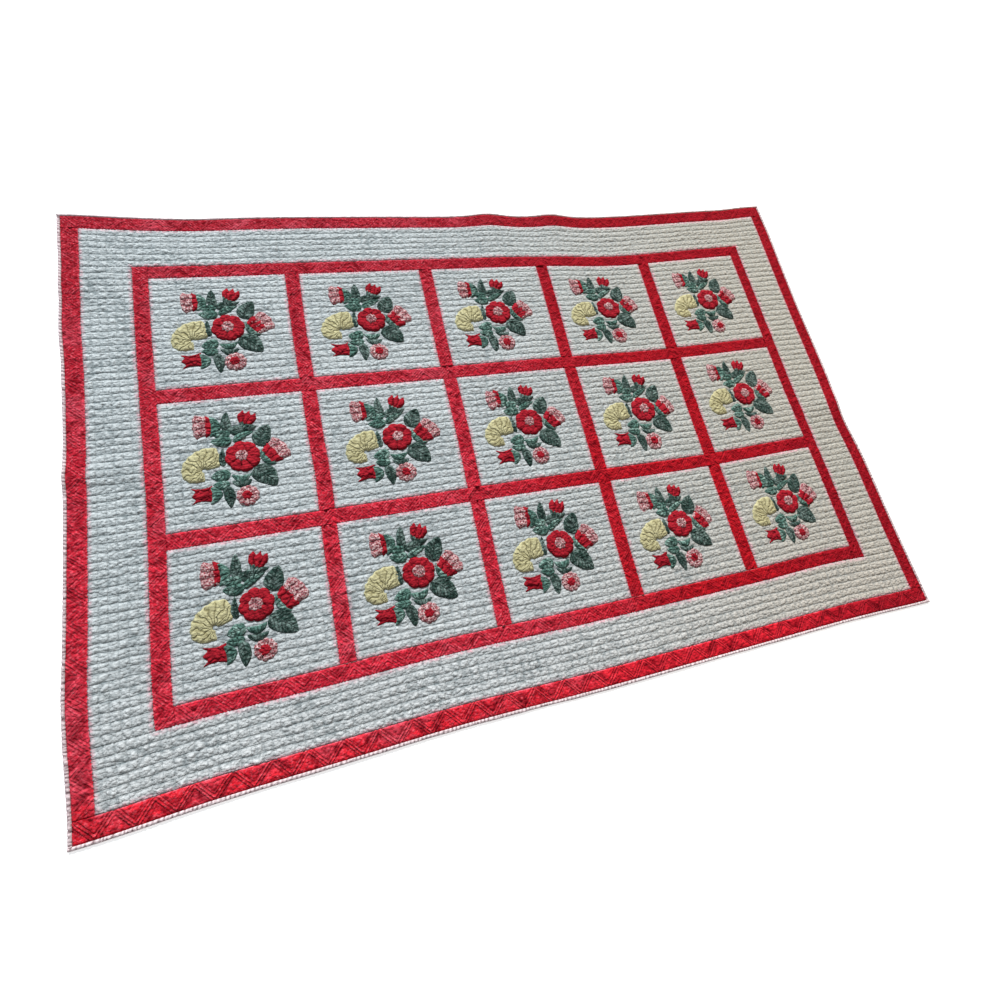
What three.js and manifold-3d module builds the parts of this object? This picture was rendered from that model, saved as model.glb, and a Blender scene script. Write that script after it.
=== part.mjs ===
// Applique quilt laid out flat: flower blocks in red sashing, a white border, a red band and a binding.
// Millimetres, +Z up. The underside lies in the plane z = 0, and +X runs along the quilt's long side.
import * as THREE from "three";
import { mergeVertices } from "three/addons/utils/BufferGeometryUtils.js";
import Module from "manifold-3d";

// Driving dimensions, from the middle of the quilt outwards
const COLUMNS = 5;
const ROWS = 3;
const BLOCK_WIDTH = 356;
const BLOCK_HEIGHT = 351;
const SASH = 41;
const BORDER = 124;
const BAND = 43.5;
const BINDING = 8.5;
const GAP = 0.3;

// Heights of the quilted cloth: along seams and stitched lines, and at the crests between them
const SEAM_HEIGHT = 3.2;
const ROW_CREST = 6.2;
const ROW_CREST_SPREAD = 0.4;
const ROW_WAVE = 480;
const ROW_WAVE_SHIFT = 1.9;
const ZIGZAG_CREST = 5.6;
const ROW_PITCH = 20.8;
const ZIGZAG_STEP = 39;

// Applique: height of a turned-in edge's crown over the crests of the block under it
const PIECE_CROWN = 2.6;
const BUTTON_CROWN = 3.8;
const BUTTON_SHARE = 0.42;
const BUTTON_SIDES = 7;
const PETAL_NOTCH = 0.84;

// Rolled edge of the quilt: shares of its width from the inner seam, with the height at each,
// and the share at which its underside leaves the floor
const ROLL = [
  { share: 0, height: SEAM_HEIGHT },
  { share: 0.3, height: 6.4 },
  { share: 0.72, height: 6 },
  { share: 1, height: 3 },
];
const ROLL_FOOT = 0.86;

const FABRIC = {
  white: new THREE.MeshStandardMaterial({ color: 0xc9d2d3, roughness: 0.95, metalness: 0 }),
  red: new THREE.MeshStandardMaterial({ color: 0xc21a32, roughness: 0.92, metalness: 0 }),
  applique: new THREE.MeshStandardMaterial({ color: 0x4f7d6b, roughness: 0.92, metalness: 0 }),
  binding: new THREE.MeshStandardMaterial({ color: 0xd8cfcc, roughness: 0.95, metalness: 0 }),
};

// How the cloth lies off its ruled shape: round a place, within a reach, it is pushed along X and Y
const PUSHES = [
  { x: 1190, y: 800, reachX: 330, reachY: 420, pushX: 6, pushY: 27 },
  { x: 1190, y: 600, reachX: 110, reachY: 160, pushX: 7, pushY: 0 },
  { x: 1190, y: -120, reachX: 110, reachY: 110, pushX: -13, pushY: 0 },
  { x: 1190, y: -790, reachX: 220, reachY: 200, pushX: 7, pushY: -10 },
  { x: 1150, y: 0, reachX: 90, reachY: 2400, pushX: -3, pushY: 0 },
  { x: 1150, y: -70, reachX: 90, reachY: 45, pushX: -5, pushY: 0 },
  { x: 1010, y: 745, reachX: 120, reachY: 130, pushX: 0, pushY: -6 },
  { x: 980, y: 20, reachX: 60, reachY: 200, pushX: -4, pushY: 0 },
  { x: 850, y: -588, reachX: 150, reachY: 90, pushX: 0, pushY: 5 },
  { x: 600, y: 0, reachX: 110, reachY: 700, pushX: -7, pushY: 0 },
  { x: 560, y: 0, reachX: 50, reachY: 900, pushX: -7, pushY: 0 },
  { x: 600, y: -60, reachX: 260, reachY: 330, pushX: 0, pushY: -7 },
  { x: 480, y: 590, reachX: 220, reachY: 330, pushX: 0, pushY: -12 },
  { x: 330, y: -196, reachX: 330, reachY: 100, pushX: 0, pushY: -6 },
  { x: 250, y: 760, reachX: 480, reachY: 130, pushX: 0, pushY: -7 },
  { x: 198, y: -420, reachX: 70, reachY: 190, pushX: -4, pushY: 0 },
  { x: 198, y: 190, reachX: 70, reachY: 170, pushX: -4.5, pushY: 0 },
  { x: 150, y: 196, reachX: 650, reachY: 100, pushX: 0, pushY: -6 },
  { x: 288, y: 790, reachX: 80, reachY: 130, pushX: 0, pushY: 4 },
  { x: 55, y: 790, reachX: 90, reachY: 130, pushX: 0, pushY: 4 },
  { x: 0, y: 590, reachX: 1100, reachY: 90, pushX: 0, pushY: -4.5 },
  { x: -198, y: 0, reachX: 70, reachY: 220, pushX: 4.5, pushY: 0 },
  { x: -350, y: -700, reachX: 250, reachY: 220, pushX: 0, pushY: 8 },
  { x: -450, y: 800, reachX: 800, reachY: 45, pushX: 0, pushY: -4.5 },
  { x: -597, y: 390, reachX: 70, reachY: 170, pushX: -4, pushY: 0 },
  { x: -597, y: -90, reachX: 70, reachY: 90, pushX: 4, pushY: 0 },
  { x: -860, y: 790, reachX: 140, reachY: 140, pushX: 0, pushY: -6 },
  { x: -985, y: -110, reachX: 70, reachY: 250, pushX: 5, pushY: 0 },
  { x: -1180, y: 20, reachX: 200, reachY: 330, pushX: 4, pushY: 0 },
  { x: -1180, y: -530, reachX: 200, reachY: 130, pushX: -6, pushY: 0 },
  { x: -1190, y: 800, reachX: 140, reachY: 260, pushX: -6, pushY: 12 },
  { x: -1190, y: -790, reachX: 230, reachY: 260, pushX: 9, pushY: -15 },
  { x: -1190, y: 0, reachX: 120, reachY: 2400, pushX: 8, pushY: 0 },
  { x: -1190, y: 425, reachX: 110, reachY: 75, pushX: -4, pushY: 0 },
];

// Soft fold lines and ripples that lift the face, each round a place and within a reach
const FOLDS = [
  { x: -1190, y: 4, reachX: 190, reachY: 34, rise: 7 },
  { x: 1190, y: -70, reachX: 150, reachY: 45, rise: 7 },
  { x: -1190, y: 560, reachX: 110, reachY: 40, rise: 4 },
  { x: 55, y: 790, reachX: 60, reachY: 110, rise: 8 },
  { x: 288, y: 790, reachX: 55, reachY: 110, rise: 8 },
  { x: 1190, y: 790, reachX: 200, reachY: 160, rise: 6 },
];

// One spray: each row is a sewn-on piece. A tulip, cup or leaf starts at x, y and runs along turn, in degrees.
// A flower has its middle there, long is its radius, and wide is its number of petals.
const SPRAY = [
  { kind: "flower", x: 6, y: 11, turn: 10, long: 42, wide: 8 },
  { kind: "flower", x: 12, y: -98, turn: 8, long: 28, wide: 8 },
  { kind: "tulip", x: -36, y: 102, turn: 180, long: 73, wide: 68 },
  { kind: "tulip", x: 0, y: 80, turn: 64, long: 70, wide: 50 },
  { kind: "tulip", x: 33, y: -10, turn: 32, long: 98, wide: 66 },
  { kind: "tulip", x: -31, y: -86, turn: 181, long: 90, wide: 46 },
  { kind: "cup", x: 2, y: -80, turn: 90, long: 57, wide: 46 },
  { kind: "leaf", x: -25, y: 58, turn: 95, long: 86, wide: 28 },
  { kind: "leaf", x: 4, y: 42, turn: 165, long: 78, wide: 42 },
  { kind: "leaf", x: -26, y: 58, turn: 25, long: 62, wide: 40 },
  { kind: "leaf", x: 38, y: 30, turn: 65, long: 73, wide: 50 },
  { kind: "leaf", x: 28, y: -15, turn: -45, long: 84, wide: 50 },
  { kind: "leaf", x: -4, y: -20, turn: 203, long: 70, wide: 40 },
  { kind: "leaf", x: -27, y: -36, turn: -91, long: 90, wide: 28 },
];

// The yellow half flower's middle line and width, from beside the rose round to its lower end
const SHELL = [
  { x: -34, y: 13, wide: 48 },
  { x: -80, y: 13, wide: 52 },
  { x: -108, y: 0, wide: 50 },
  { x: -115, y: -27, wide: 46 },
  { x: -108, y: -50, wide: 42 },
];

// How far off the middle of its block each spray is set: one line for a row of blocks, from the left
const SET = [
  { x: [6, 0, -1, -6, 1], y: [-10, -12, -13, -14, -13] },
  { x: [7, 10, 7, -1, 2], y: [-7, -6, -12, -10, 0] },
  { x: [4, 0, 2, -2, 7], y: [-2, -2, 2, -7, -2] },
];

// Each spray is also turned a little, in degrees, in its own way
const TURN = { most: 1.6, perRow: 2.9, perColumn: 1.9, start: 2 };

// Seam lines of the ruled quilt, with a station half way along each block
const latticeX = seamLines(COLUMNS, BLOCK_WIDTH);
const latticeY = seamLines(ROWS, BLOCK_HEIGHT);
const edgeX = outwardSeams(COLUMNS, BLOCK_WIDTH);
const edgeY = outwardSeams(ROWS, BLOCK_HEIGHT);

const wasm = await Module();
wasm.setup();

const quilt = new THREE.Group();

// Half the ruled width or height out to each outer seam
function outwardSeams(count, size) {
  const sash = (count * size + (count + 1) * SASH) / 2;
  const border = sash + BORDER;
  const band = border + BAND;
  return { inside: sash - SASH, sash, border, band, binding: band + BINDING };
}

// Every seam line across one direction in order, with the middles of the blocks
function seamLines(count, size) {
  const out = outwardSeams(count, size);
  const lines = [-out.binding, -out.band, -out.border, -out.sash];
  for (let i = 0; i < count; i += 1) {
    const start = blockStart(i, count, size);
    lines.push(start, start + size / 2, start + size);
  }
  lines.push(out.sash, out.border, out.band, out.binding);
  return lines;
}

// Where block i starts along one direction
function blockStart(i, count, size) {
  return (size + SASH) * (i - count / 2) + SASH / 2;
}

// Share of a push or fold that is felt at x, y
function felt(place, x, y) {
  const across = (x - place.x) / place.reachX;
  const along = (y - place.y) / place.reachY;
  return Math.exp(-across * across - along * along);
}

// A seam crossing of the ruled quilt, as the cloth lies
function pushed(x, y) {
  const at = new THREE.Vector2(x, y);
  for (const place of PUSHES) {
    const share = felt(place, x, y);
    at.x += place.pushX * share;
    at.y += place.pushY * share;
  }
  return at;
}

// Index of the lattice span that holds a value
function spanOf(lines, value) {
  let i = 0;
  while (i < lines.length - 2 && value > lines[i + 1]) {
    i += 1;
  }
  return i;
}

// Any point of the ruled quilt as the cloth lies: straight along seams between the lattice's crossings
function laid(x, y) {
  const i = spanOf(latticeX, x);
  const j = spanOf(latticeY, y);
  const s = (x - latticeX[i]) / (latticeX[i + 1] - latticeX[i]);
  const t = (y - latticeY[j]) / (latticeY[j + 1] - latticeY[j]);
  const near = pushed(latticeX[i], latticeY[j]).lerp(pushed(latticeX[i + 1], latticeY[j]), s);
  const far = pushed(latticeX[i], latticeY[j + 1]).lerp(pushed(latticeX[i + 1], latticeY[j + 1]), s);
  return near.lerp(far, t);
}

// Lift of the face at a point of the ruled quilt
function lift(x, y) {
  return FOLDS.reduce((sum, fold) => sum + fold.rise * felt(fold, x, y), 0);
}

// Lattice stations from low to high, with the ends drawn in by half a gap
function stations(lines, low, high) {
  const inner = lines.filter((value) => value > low + GAP && value < high - GAP);
  return [low + GAP / 2, ...inner, high - GAP / 2];
}

// A closed body under construction: points and outward triangles
class Body {
  constructor() {
    this.points = [];
    this.faces = [];
  }

  point(x, y, z) {
    this.points.push(x, y, z);
    return this.points.length / 3 - 1;
  }

  face(a, b, c) {
    this.faces.push(a, b, c);
  }

  quad(a, b, c, d) {
    this.face(a, b, c);
    this.face(a, c, d);
  }

  // Wall between two chains of { index, at }, walked with the body on the left
  wall(top, bottom) {
    let i = 0;
    let j = 0;
    while (i < top.length - 1 || j < bottom.length - 1) {
      const topNext = i < top.length - 1 ? Math.abs(top[i + 1].at - top[0].at) : Infinity;
      const bottomNext = j < bottom.length - 1 ? Math.abs(bottom[j + 1].at - bottom[0].at) : Infinity;
      if (topNext <= bottomNext) {
        this.face(top[i].index, bottom[j].index, top[i + 1].index);
        i += 1;
      } else {
        this.face(top[i].index, bottom[j].index, bottom[j + 1].index);
        j += 1;
      }
    }
  }

  mesh(name, material) {
    const geometry = new THREE.BufferGeometry();
    geometry.setAttribute("position", new THREE.Float32BufferAttribute(this.points, 3));
    geometry.setIndex(this.faces);
    geometry.computeVertexNormals();
    const made = new THREE.Mesh(geometry, material);
    made.name = name;
    return made;
  }
}

// A strip's own directions: u along it and v across it, for strips that run along X or along Y
function alongX(u, v) {
  return { x: u, y: v };
}

function alongY(u, v) {
  return { x: -v, y: u };
}

// The same two directions turned about, for strips whose outer side is on the other hand
function backAlongX(u, v) {
  return { x: -u, y: -v };
}

function backAlongY(u, v) {
  return { x: v, y: -u };
}

// Point of a strip as it lies, at a height over the floor
function stripPoint(body, way, u, v, height) {
  const ruled = way(u, v);
  const at = laid(ruled.x, ruled.y);
  return body.point(at.x, at.y, height === 0 ? 0 : height + lift(ruled.x, ruled.y));
}

// Lines of quilting along each row: stitched lines and crests by turns
function rowLines(coarse) {
  const lines = [{ at: coarse[0], crest: false }];
  for (let i = 1; i < coarse.length; i += 1) {
    const span = coarse[i] - coarse[i - 1];
    const steps = Math.round(span / (ROW_PITCH / 2));
    for (let k = 1; k <= steps; k += 1) {
      const at = coarse[i - 1] + (span * k) / steps;
      lines.push({ at, crest: lines.length % 2 === 1 });
    }
  }
  return lines;
}

// Crest heights differ a little in a long wave along each row, shifted from one row to the next
function rowHeight(line, x, index) {
  if (!line.crest) {
    return SEAM_HEIGHT;
  }
  const wave = (2 * Math.PI * x) / ROW_WAVE + ROW_WAVE_SHIFT * index;
  return ROW_CREST + ROW_CREST_SPREAD * Math.sin(wave);
}

// White cloth quilted in rows along X, over the ruled rectangle from x0, y0 to x1, y1
function quiltedPanel(name, x0, x1, y0, y1) {
  const body = new Body();
  const xs = stations(latticeX, x0, x1);
  const ys = stations(latticeY, y0, y1);
  const lines = rowLines(ys);
  const onRow = (line, x, j) => stripPoint(body, alongX, x, line.at, rowHeight(line, x, j));
  const top = xs.map((x) => lines.map((line, j) => onRow(line, x, j)));
  const under = xs.map((x) => ys.map((y) => stripPoint(body, alongX, x, y, 0)));
  for (let i = 0; i < xs.length - 1; i += 1) {
    for (let j = 0; j < lines.length - 1; j += 1) {
      body.quad(top[i][j], top[i + 1][j], top[i + 1][j + 1], top[i][j + 1]);
    }
    for (let j = 0; j < ys.length - 1; j += 1) {
      body.quad(under[i][j], under[i][j + 1], under[i + 1][j + 1], under[i + 1][j]);
    }
  }
  const lastX = xs.length - 1;
  const nearTop = xs.map((x, i) => ({ index: top[i][0], at: x }));
  const nearUnder = xs.map((x, i) => ({ index: under[i][0], at: x }));
  const farTop = xs.map((x, i) => ({ index: top[i][lines.length - 1], at: x }));
  const farUnder = xs.map((x, i) => ({ index: under[i][ys.length - 1], at: x }));
  const sideTop = (i) => lines.map((line, j) => ({ index: top[i][j], at: line.at }));
  const sideUnder = (i) => ys.map((y, j) => ({ index: under[i][j], at: y }));
  body.wall(nearTop, nearUnder);
  body.wall(sideTop(lastX), sideUnder(lastX));
  body.wall(farTop.reverse(), farUnder.reverse());
  body.wall(sideTop(0).reverse(), sideUnder(0).reverse());
  quilt.add(body.mesh(name, FABRIC.white));
}

// Red cloth quilted in a zigzag from edge to edge, raised in the triangles between the stitched lines
function zigzagStrip(name, way, lines, u0, u1, v0, v1) {
  const body = new Body();
  const us = stations(lines, u0, u1);
  const low = v0 + GAP / 2;
  const high = v1 - GAP / 2;
  const turns = [us[0]];
  for (let i = 1; i < us.length; i += 1) {
    const span = us[i] - us[i - 1];
    const steps = Math.max(1, Math.round(span / ZIGZAG_STEP));
    for (let k = 1; k <= steps; k += 1) {
      turns.push(us[i - 1] + (span * k) / steps);
    }
  }
  // The zigzag touches the low edge at its even turns and the high edge at its odd ones
  const touches = (side, turn) => turn % 2 === side;
  const chain = (side) => {
    const v = side === 0 ? low : high;
    const ends = (turn) => turn === 0 || turn === turns.length - 1;
    const kept = turns.filter((u, turn) => touches(side, turn) || ends(turn) || us.includes(u));
    return kept.map((u) => ({ index: stripPoint(body, way, u, v, SEAM_HEIGHT), at: u }));
  };
  const edges = [chain(0), chain(1)];
  for (let turn = 0; turn < turns.length; turn += 1) {
    const own = touches(0, turn) ? 0 : 1;
    const from = turns[Math.max(turn - 1, 0)];
    const to = turns[Math.min(turn + 1, turns.length - 1)];
    const apex = edges[own].find((point) => point.at === turns[turn]).index;
    const base = edges[1 - own].filter((point) => point.at >= from && point.at <= to);
    const ring = [apex, ...(own === 0 ? base.reverse() : base).map((point) => point.index)];
    const middle = ring.reduce((sum, index) => sum.add(pointOf(body, index)), new THREE.Vector3());
    middle.divideScalar(ring.length);
    const crest = body.point(middle.x, middle.y, middle.z + ZIGZAG_CREST - SEAM_HEIGHT);
    ring.forEach((index, k) => body.face(ring[(k + 1) % ring.length], crest, index));
  }
  closeStrip(body, way, us, low, high, edges);
  quilt.add(body.mesh(name, FABRIC.red));
}

function pointOf(body, index) {
  return new THREE.Vector3().fromArray(body.points, index * 3);
}

// Underside and walls of a strip whose top edges are two chains of points
function closeStrip(body, way, us, low, high, edges) {
  const floor = (v) => us.map((u) => ({ index: stripPoint(body, way, u, v, 0), at: u }));
  const nearFloor = floor(low);
  const farFloor = floor(high);
  for (let i = 0; i < us.length - 1; i += 1) {
    body.quad(nearFloor[i].index, farFloor[i].index, farFloor[i + 1].index, nearFloor[i + 1].index);
  }
  const last = us.length - 1;
  const [near, far] = edges;
  body.wall(near, nearFloor);
  body.quad(near.at(-1).index, nearFloor[last].index, farFloor[last].index, far.at(-1).index);
  body.quad(far[0].index, farFloor[0].index, nearFloor[0].index, near[0].index);
  body.wall([...far].reverse(), farFloor.reverse());
}

// Binding along one edge: u runs along it and its outer side is on the right, towards lower v
function bindingStrip(name, way, lines, u0, u1, inner) {
  const body = new Body();
  const us = stations(lines, u0, u1);
  const across = (share) => inner - GAP / 2 - share * (BINDING - GAP / 2);
  const rows = ROLL.map((row) => us.map((u) => stripPoint(body, way, u, across(row.share), row.height)));
  rows.push(us.map((u) => stripPoint(body, way, u, across(ROLL_FOOT), 0)));
  rows.push(us.map((u) => stripPoint(body, way, u, across(0), 0)));
  const last = us.length - 1;
  rows.forEach((row, r) => {
    const next = rows[(r + 1) % rows.length];
    for (let i = 0; i < last; i += 1) {
      body.quad(next[i], next[i + 1], row[i + 1], row[i]);
    }
  });
  for (let r = 1; r < rows.length - 1; r += 1) {
    body.face(rows[0][0], rows[r + 1][0], rows[r][0]);
    body.face(rows[0][last], rows[r][last], rows[r + 1][last]);
  }
  quilt.add(body.mesh(name, FABRIC.binding));
}

function blockBox(row, column) {
  const x0 = blockStart(column, COLUMNS, BLOCK_WIDTH);
  const y0 = -blockStart(row, ROWS, BLOCK_HEIGHT) - BLOCK_HEIGHT;
  return { x0, x1: x0 + BLOCK_WIDTH, y0, y1: y0 + BLOCK_HEIGHT };
}

function eachBlock(work) {
  for (let row = 0; row < ROWS; row += 1) {
    for (let column = 0; column < COLUMNS; column += 1) {
      work(`r${row + 1}c${column + 1}`, row, column, blockBox(row, column));
    }
  }
}

function addBlocks() {
  eachBlock((place, row, column, box) => quiltedPanel(`block_${place}`, box.x0, box.x1, box.y0, box.y1));
}

// Long strips between the rows, an upright at each end, and short posts between the blocks
function addSashing() {
  for (let row = 0; row <= ROWS; row += 1) {
    const middle = (BLOCK_HEIGHT + SASH) * (ROWS / 2 - row);
    const y0 = middle - SASH / 2;
    zigzagStrip(`sash_row_${row + 1}`, alongX, latticeX, -edgeX.inside, edgeX.inside, y0, y0 + SASH);
  }
  const upright = (name, x0) => zigzagStrip(name, alongY, latticeY, -edgeY.sash, edgeY.sash, -x0 - SASH, -x0);
  upright("sash_end_left", -edgeX.sash);
  upright("sash_end_right", edgeX.inside);
  eachBlock((place, row, column, box) => {
    if (column < COLUMNS - 1) {
      zigzagStrip(`sash_post_${place}`, alongY, latticeY, box.y0, box.y1, -box.x1 - SASH, -box.x1);
    }
  });
}

function addBorder() {
  quiltedPanel("border_top", -edgeX.border, edgeX.border, edgeY.sash, edgeY.border);
  quiltedPanel("border_bottom", -edgeX.border, edgeX.border, -edgeY.border, -edgeY.sash);
  quiltedPanel("border_left", -edgeX.border, -edgeX.sash, -edgeY.sash, edgeY.sash);
  quiltedPanel("border_right", edgeX.sash, edgeX.border, -edgeY.sash, edgeY.sash);
}

function addBands() {
  zigzagStrip("band_top", alongX, latticeX, -edgeX.band, edgeX.band, edgeY.border, edgeY.band);
  zigzagStrip("band_bottom", alongX, latticeX, -edgeX.band, edgeX.band, -edgeY.band, -edgeY.border);
  zigzagStrip("band_left", alongY, latticeY, -edgeY.border, edgeY.border, edgeX.border, edgeX.band);
  zigzagStrip("band_right", alongY, latticeY, -edgeY.border, edgeY.border, -edgeX.band, -edgeX.border);
}

function addBindings() {
  const { binding: wide } = edgeX;
  bindingStrip("binding_bottom", alongX, latticeX, -wide, wide, -edgeY.band);
  bindingStrip("binding_top", backAlongX, latticeX, -wide, wide, -edgeY.band);
  bindingStrip("binding_right", alongY, latticeY, -edgeY.band, edgeY.band, -edgeX.band);
  bindingStrip("binding_left", backAlongY, latticeY, -edgeY.band, edgeY.band, -edgeX.band);
}

// Outlines of the sewn-on pieces, each in its own directions: along the piece, and across it
const OUTLINE = {
  leaf: (long, wide) => [
    [0, 0],
    [0.3 * long, -0.44 * wide],
    [0.65 * long, -0.42 * wide],
    [long, 0],
    [0.65 * long, 0.42 * wide],
    [0.3 * long, 0.44 * wide],
  ],
  cup: (long, wide) => [
    [0, 0],
    [0.25 * long, -0.36 * wide],
    [long, -0.5 * wide],
    [0.7 * long, 0],
    [long, 0.5 * wide],
    [0.25 * long, 0.36 * wide],
  ],
  tulip: (long, wide) => [
    [0, 0],
    [0.3 * long, -0.38 * wide],
    [long, -0.5 * wide],
    [0.8 * long, -0.2 * wide],
    [long, 0],
    [0.8 * long, 0.2 * wide],
    [long, 0.5 * wide],
    [0.3 * long, 0.38 * wide],
  ],
  flower: (radius, petals) => ring(2 * petals, (k) => (k % 2 === 0 ? radius : PETAL_NOTCH * radius)),
  button: (radius) => ring(BUTTON_SIDES, () => radius),
};

// Points round a middle, each at its own reach
function ring(count, reach) {
  const turns = Array.from({ length: count }, (_, k) => (2 * Math.PI * k) / count);
  return turns.map((turn, k) => [reach(k) * Math.cos(turn), reach(k) * Math.sin(turn)]);
}

// Outline of one row of the spray in the block's directions
function pieceOutline(piece) {
  const turn = THREE.MathUtils.degToRad(piece.turn);
  const origin = new THREE.Vector2();
  const start = new THREE.Vector2(piece.x, piece.y);
  const points = OUTLINE[piece.kind](piece.long, piece.wide);
  return points.map(([along, across]) => new THREE.Vector2(along, across).rotateAround(origin, turn).add(start));
}

// Domed piece on the plane z = 0: its outline, and a crown over the middle of the outline
function dome(outline, crown) {
  const body = new Body();
  const middle = outline.reduce((sum, at) => sum.add(at), new THREE.Vector2()).divideScalar(outline.length);
  const ring = outline.map((at) => body.point(at.x, at.y, 0));
  const crest = body.point(middle.x, middle.y, crown);
  ring.forEach((index, k) => body.face(index, ring[(k + 1) % ring.length], crest));
  for (const [a, b, c] of THREE.ShapeUtils.triangulateShape(outline, [])) {
    body.face(ring[a], ring[c], ring[b]);
  }
  return solidOf(body);
}

// The half flower is a band of changing width, crowned along its middle line
function shell(crown) {
  const body = new Body();
  const curve = new THREE.CatmullRomCurve3(SHELL.map((row) => new THREE.Vector3(row.x, row.y, 0)));
  const sides = SHELL.map((row, i) => {
    const ahead = curve.getTangent(i / (SHELL.length - 1));
    const reach = new THREE.Vector3(-ahead.y, ahead.x, 0).multiplyScalar(row.wide / 2);
    return {
      left: body.point(row.x + reach.x, row.y + reach.y, 0),
      right: body.point(row.x - reach.x, row.y - reach.y, 0),
      crest: body.point(row.x, row.y, crown),
    };
  });
  for (let i = 0; i < sides.length - 1; i += 1) {
    const here = sides[i];
    const next = sides[i + 1];
    body.quad(here.crest, next.crest, next.left, here.left);
    body.quad(here.right, next.right, next.crest, here.crest);
    body.quad(here.left, next.left, next.right, here.right);
  }
  body.face(sides[0].right, sides[0].crest, sides[0].left);
  body.face(sides.at(-1).left, sides.at(-1).crest, sides.at(-1).right);
  return solidOf(body);
}

function solidOf(body) {
  const vertProperties = new Float32Array(body.points);
  const triVerts = new Uint32Array(body.faces);
  return new wasm.Manifold(new wasm.Mesh({ numProp: 3, vertProperties, triVerts }));
}

// All pieces of one spray joined, with a round button on the rose
function sprayGeometry() {
  const rose = SPRAY[0];
  const button = { ...rose, kind: "button", long: BUTTON_SHARE * rose.long };
  let joined = shell(PIECE_CROWN).add(dome(pieceOutline(button), BUTTON_CROWN));
  for (const piece of SPRAY) {
    joined = joined.add(dome(pieceOutline(piece), PIECE_CROWN));
  }
  const mesh = joined.getMesh();
  const geometry = new THREE.BufferGeometry();
  geometry.setAttribute("position", new THREE.BufferAttribute(mesh.vertProperties, 3));
  geometry.setIndex(new THREE.BufferAttribute(mesh.triVerts, 1));
  return mergeVertices(geometry);
}

// Each spray lies on the crests of its block, set by hand a little differently from the next
function addSprays() {
  const geometry = sprayGeometry();
  eachBlock((place, row, column, box) => {
    const x = (box.x0 + box.x1) / 2;
    const y = (box.y0 + box.y1) / 2;
    const centre = laid(x, y);
    const spray = new THREE.Mesh(geometry, FABRIC.applique);
    spray.name = `spray_${place}`;
    const resting = ROW_CREST + ROW_CREST_SPREAD + Math.max(lift(box.x0, y), lift(box.x1, y)) + GAP;
    const wave = Math.sin(TURN.perRow * row + TURN.perColumn * column + TURN.start);
    spray.position.set(centre.x + SET[row].x[column], centre.y + SET[row].y[column], resting);
    spray.rotation.z = THREE.MathUtils.degToRad(TURN.most * wave);
    quilt.add(spray);
  });
}

// The quilt's box stands over the origin
function centreOnOrigin(group) {
  const middle = new THREE.Box3().setFromObject(group).getCenter(new THREE.Vector3());
  group.position.set(-middle.x, -middle.y, 0);
  group.updateMatrixWorld(true);
}

addBlocks();
addSashing();
addBorder();
addBands();
addBindings();
addSprays();
centreOnOrigin(quilt);

export default quilt;
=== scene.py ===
# Applique quilt spread out on a pale floor: flower blocks in red sashing, with a white border, a red band
# and a binding. The scene is in metres, +Z up. Sizes and tables are in millimetres of the ruled quilt,
# before it is pushed out of true, with the middle of the quilt at 0, 0.
from functools import partialmethod

import bpy
import numpy as np
from mathutils import Matrix, Vector


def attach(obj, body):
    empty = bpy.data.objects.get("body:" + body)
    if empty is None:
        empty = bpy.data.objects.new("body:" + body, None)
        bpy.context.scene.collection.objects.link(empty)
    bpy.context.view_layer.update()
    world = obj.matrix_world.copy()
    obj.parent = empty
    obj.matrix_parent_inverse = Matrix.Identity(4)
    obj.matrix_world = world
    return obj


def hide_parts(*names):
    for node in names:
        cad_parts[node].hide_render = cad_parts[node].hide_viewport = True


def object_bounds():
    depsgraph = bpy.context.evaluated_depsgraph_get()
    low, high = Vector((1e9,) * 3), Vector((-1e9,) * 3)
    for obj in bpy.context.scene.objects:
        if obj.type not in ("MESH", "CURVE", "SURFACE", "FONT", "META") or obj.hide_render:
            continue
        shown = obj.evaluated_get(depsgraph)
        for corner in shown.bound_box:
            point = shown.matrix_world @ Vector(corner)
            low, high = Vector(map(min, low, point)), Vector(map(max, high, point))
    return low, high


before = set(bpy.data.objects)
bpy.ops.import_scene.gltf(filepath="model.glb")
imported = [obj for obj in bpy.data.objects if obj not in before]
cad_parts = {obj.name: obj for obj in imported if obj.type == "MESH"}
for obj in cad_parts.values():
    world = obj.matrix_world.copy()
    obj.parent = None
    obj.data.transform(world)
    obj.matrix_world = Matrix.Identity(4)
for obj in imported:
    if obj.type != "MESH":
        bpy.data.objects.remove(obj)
CAD_LOW, CAD_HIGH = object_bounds()
MM = 0.001


def table(columns, *rows):
    """Rows with named columns."""
    return [dict(zip(columns.split(), row)) for row in rows]


# Driving sizes, from the middle of the quilt outwards
COLUMNS = 5
ROWS = 3
BLOCK_WIDTH = 356
BLOCK_HEIGHT = 351
SASH = 41
BORDER = 124
BAND = 43.5
BINDING = 8.5
GAP = 0.3

# Quilting of the white cloth: cells between stitched lines, deeper along the rows than across them, and
# creases that run slantwise over the cells, one way at the left and the other way at the right
SEAM = 3.2
CELL_LONG = 22.4
CELL_WIDE = 20.8
CELL_STEPS = 6
PUFF = 3.2
PUFF_SPREAD = 0.25
ROW_FULLNESS = 4
COLUMN_FULLNESS = 5
COLUMN_DEPTH = 0.75
CREASE = 2
CREASE_SLANT = 0.7
CREASE_TURN = 2000
CREASE_SEEDS = (7, 9)
CALM_END = 0.45
CALM_LEAN = 0.3
LINE_WANDER = 1.5
FINE_WANDER = 0.4
SIDE_ROUND = 3
SIDE_CALM = 6
TOOTH = 3.4
TOOTH_REACH = 3.5
TUCK_DEPTH = 0.9
# Painted shade where the cloth is held down round a spray
TUCK_SHADE = 0.25

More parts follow.
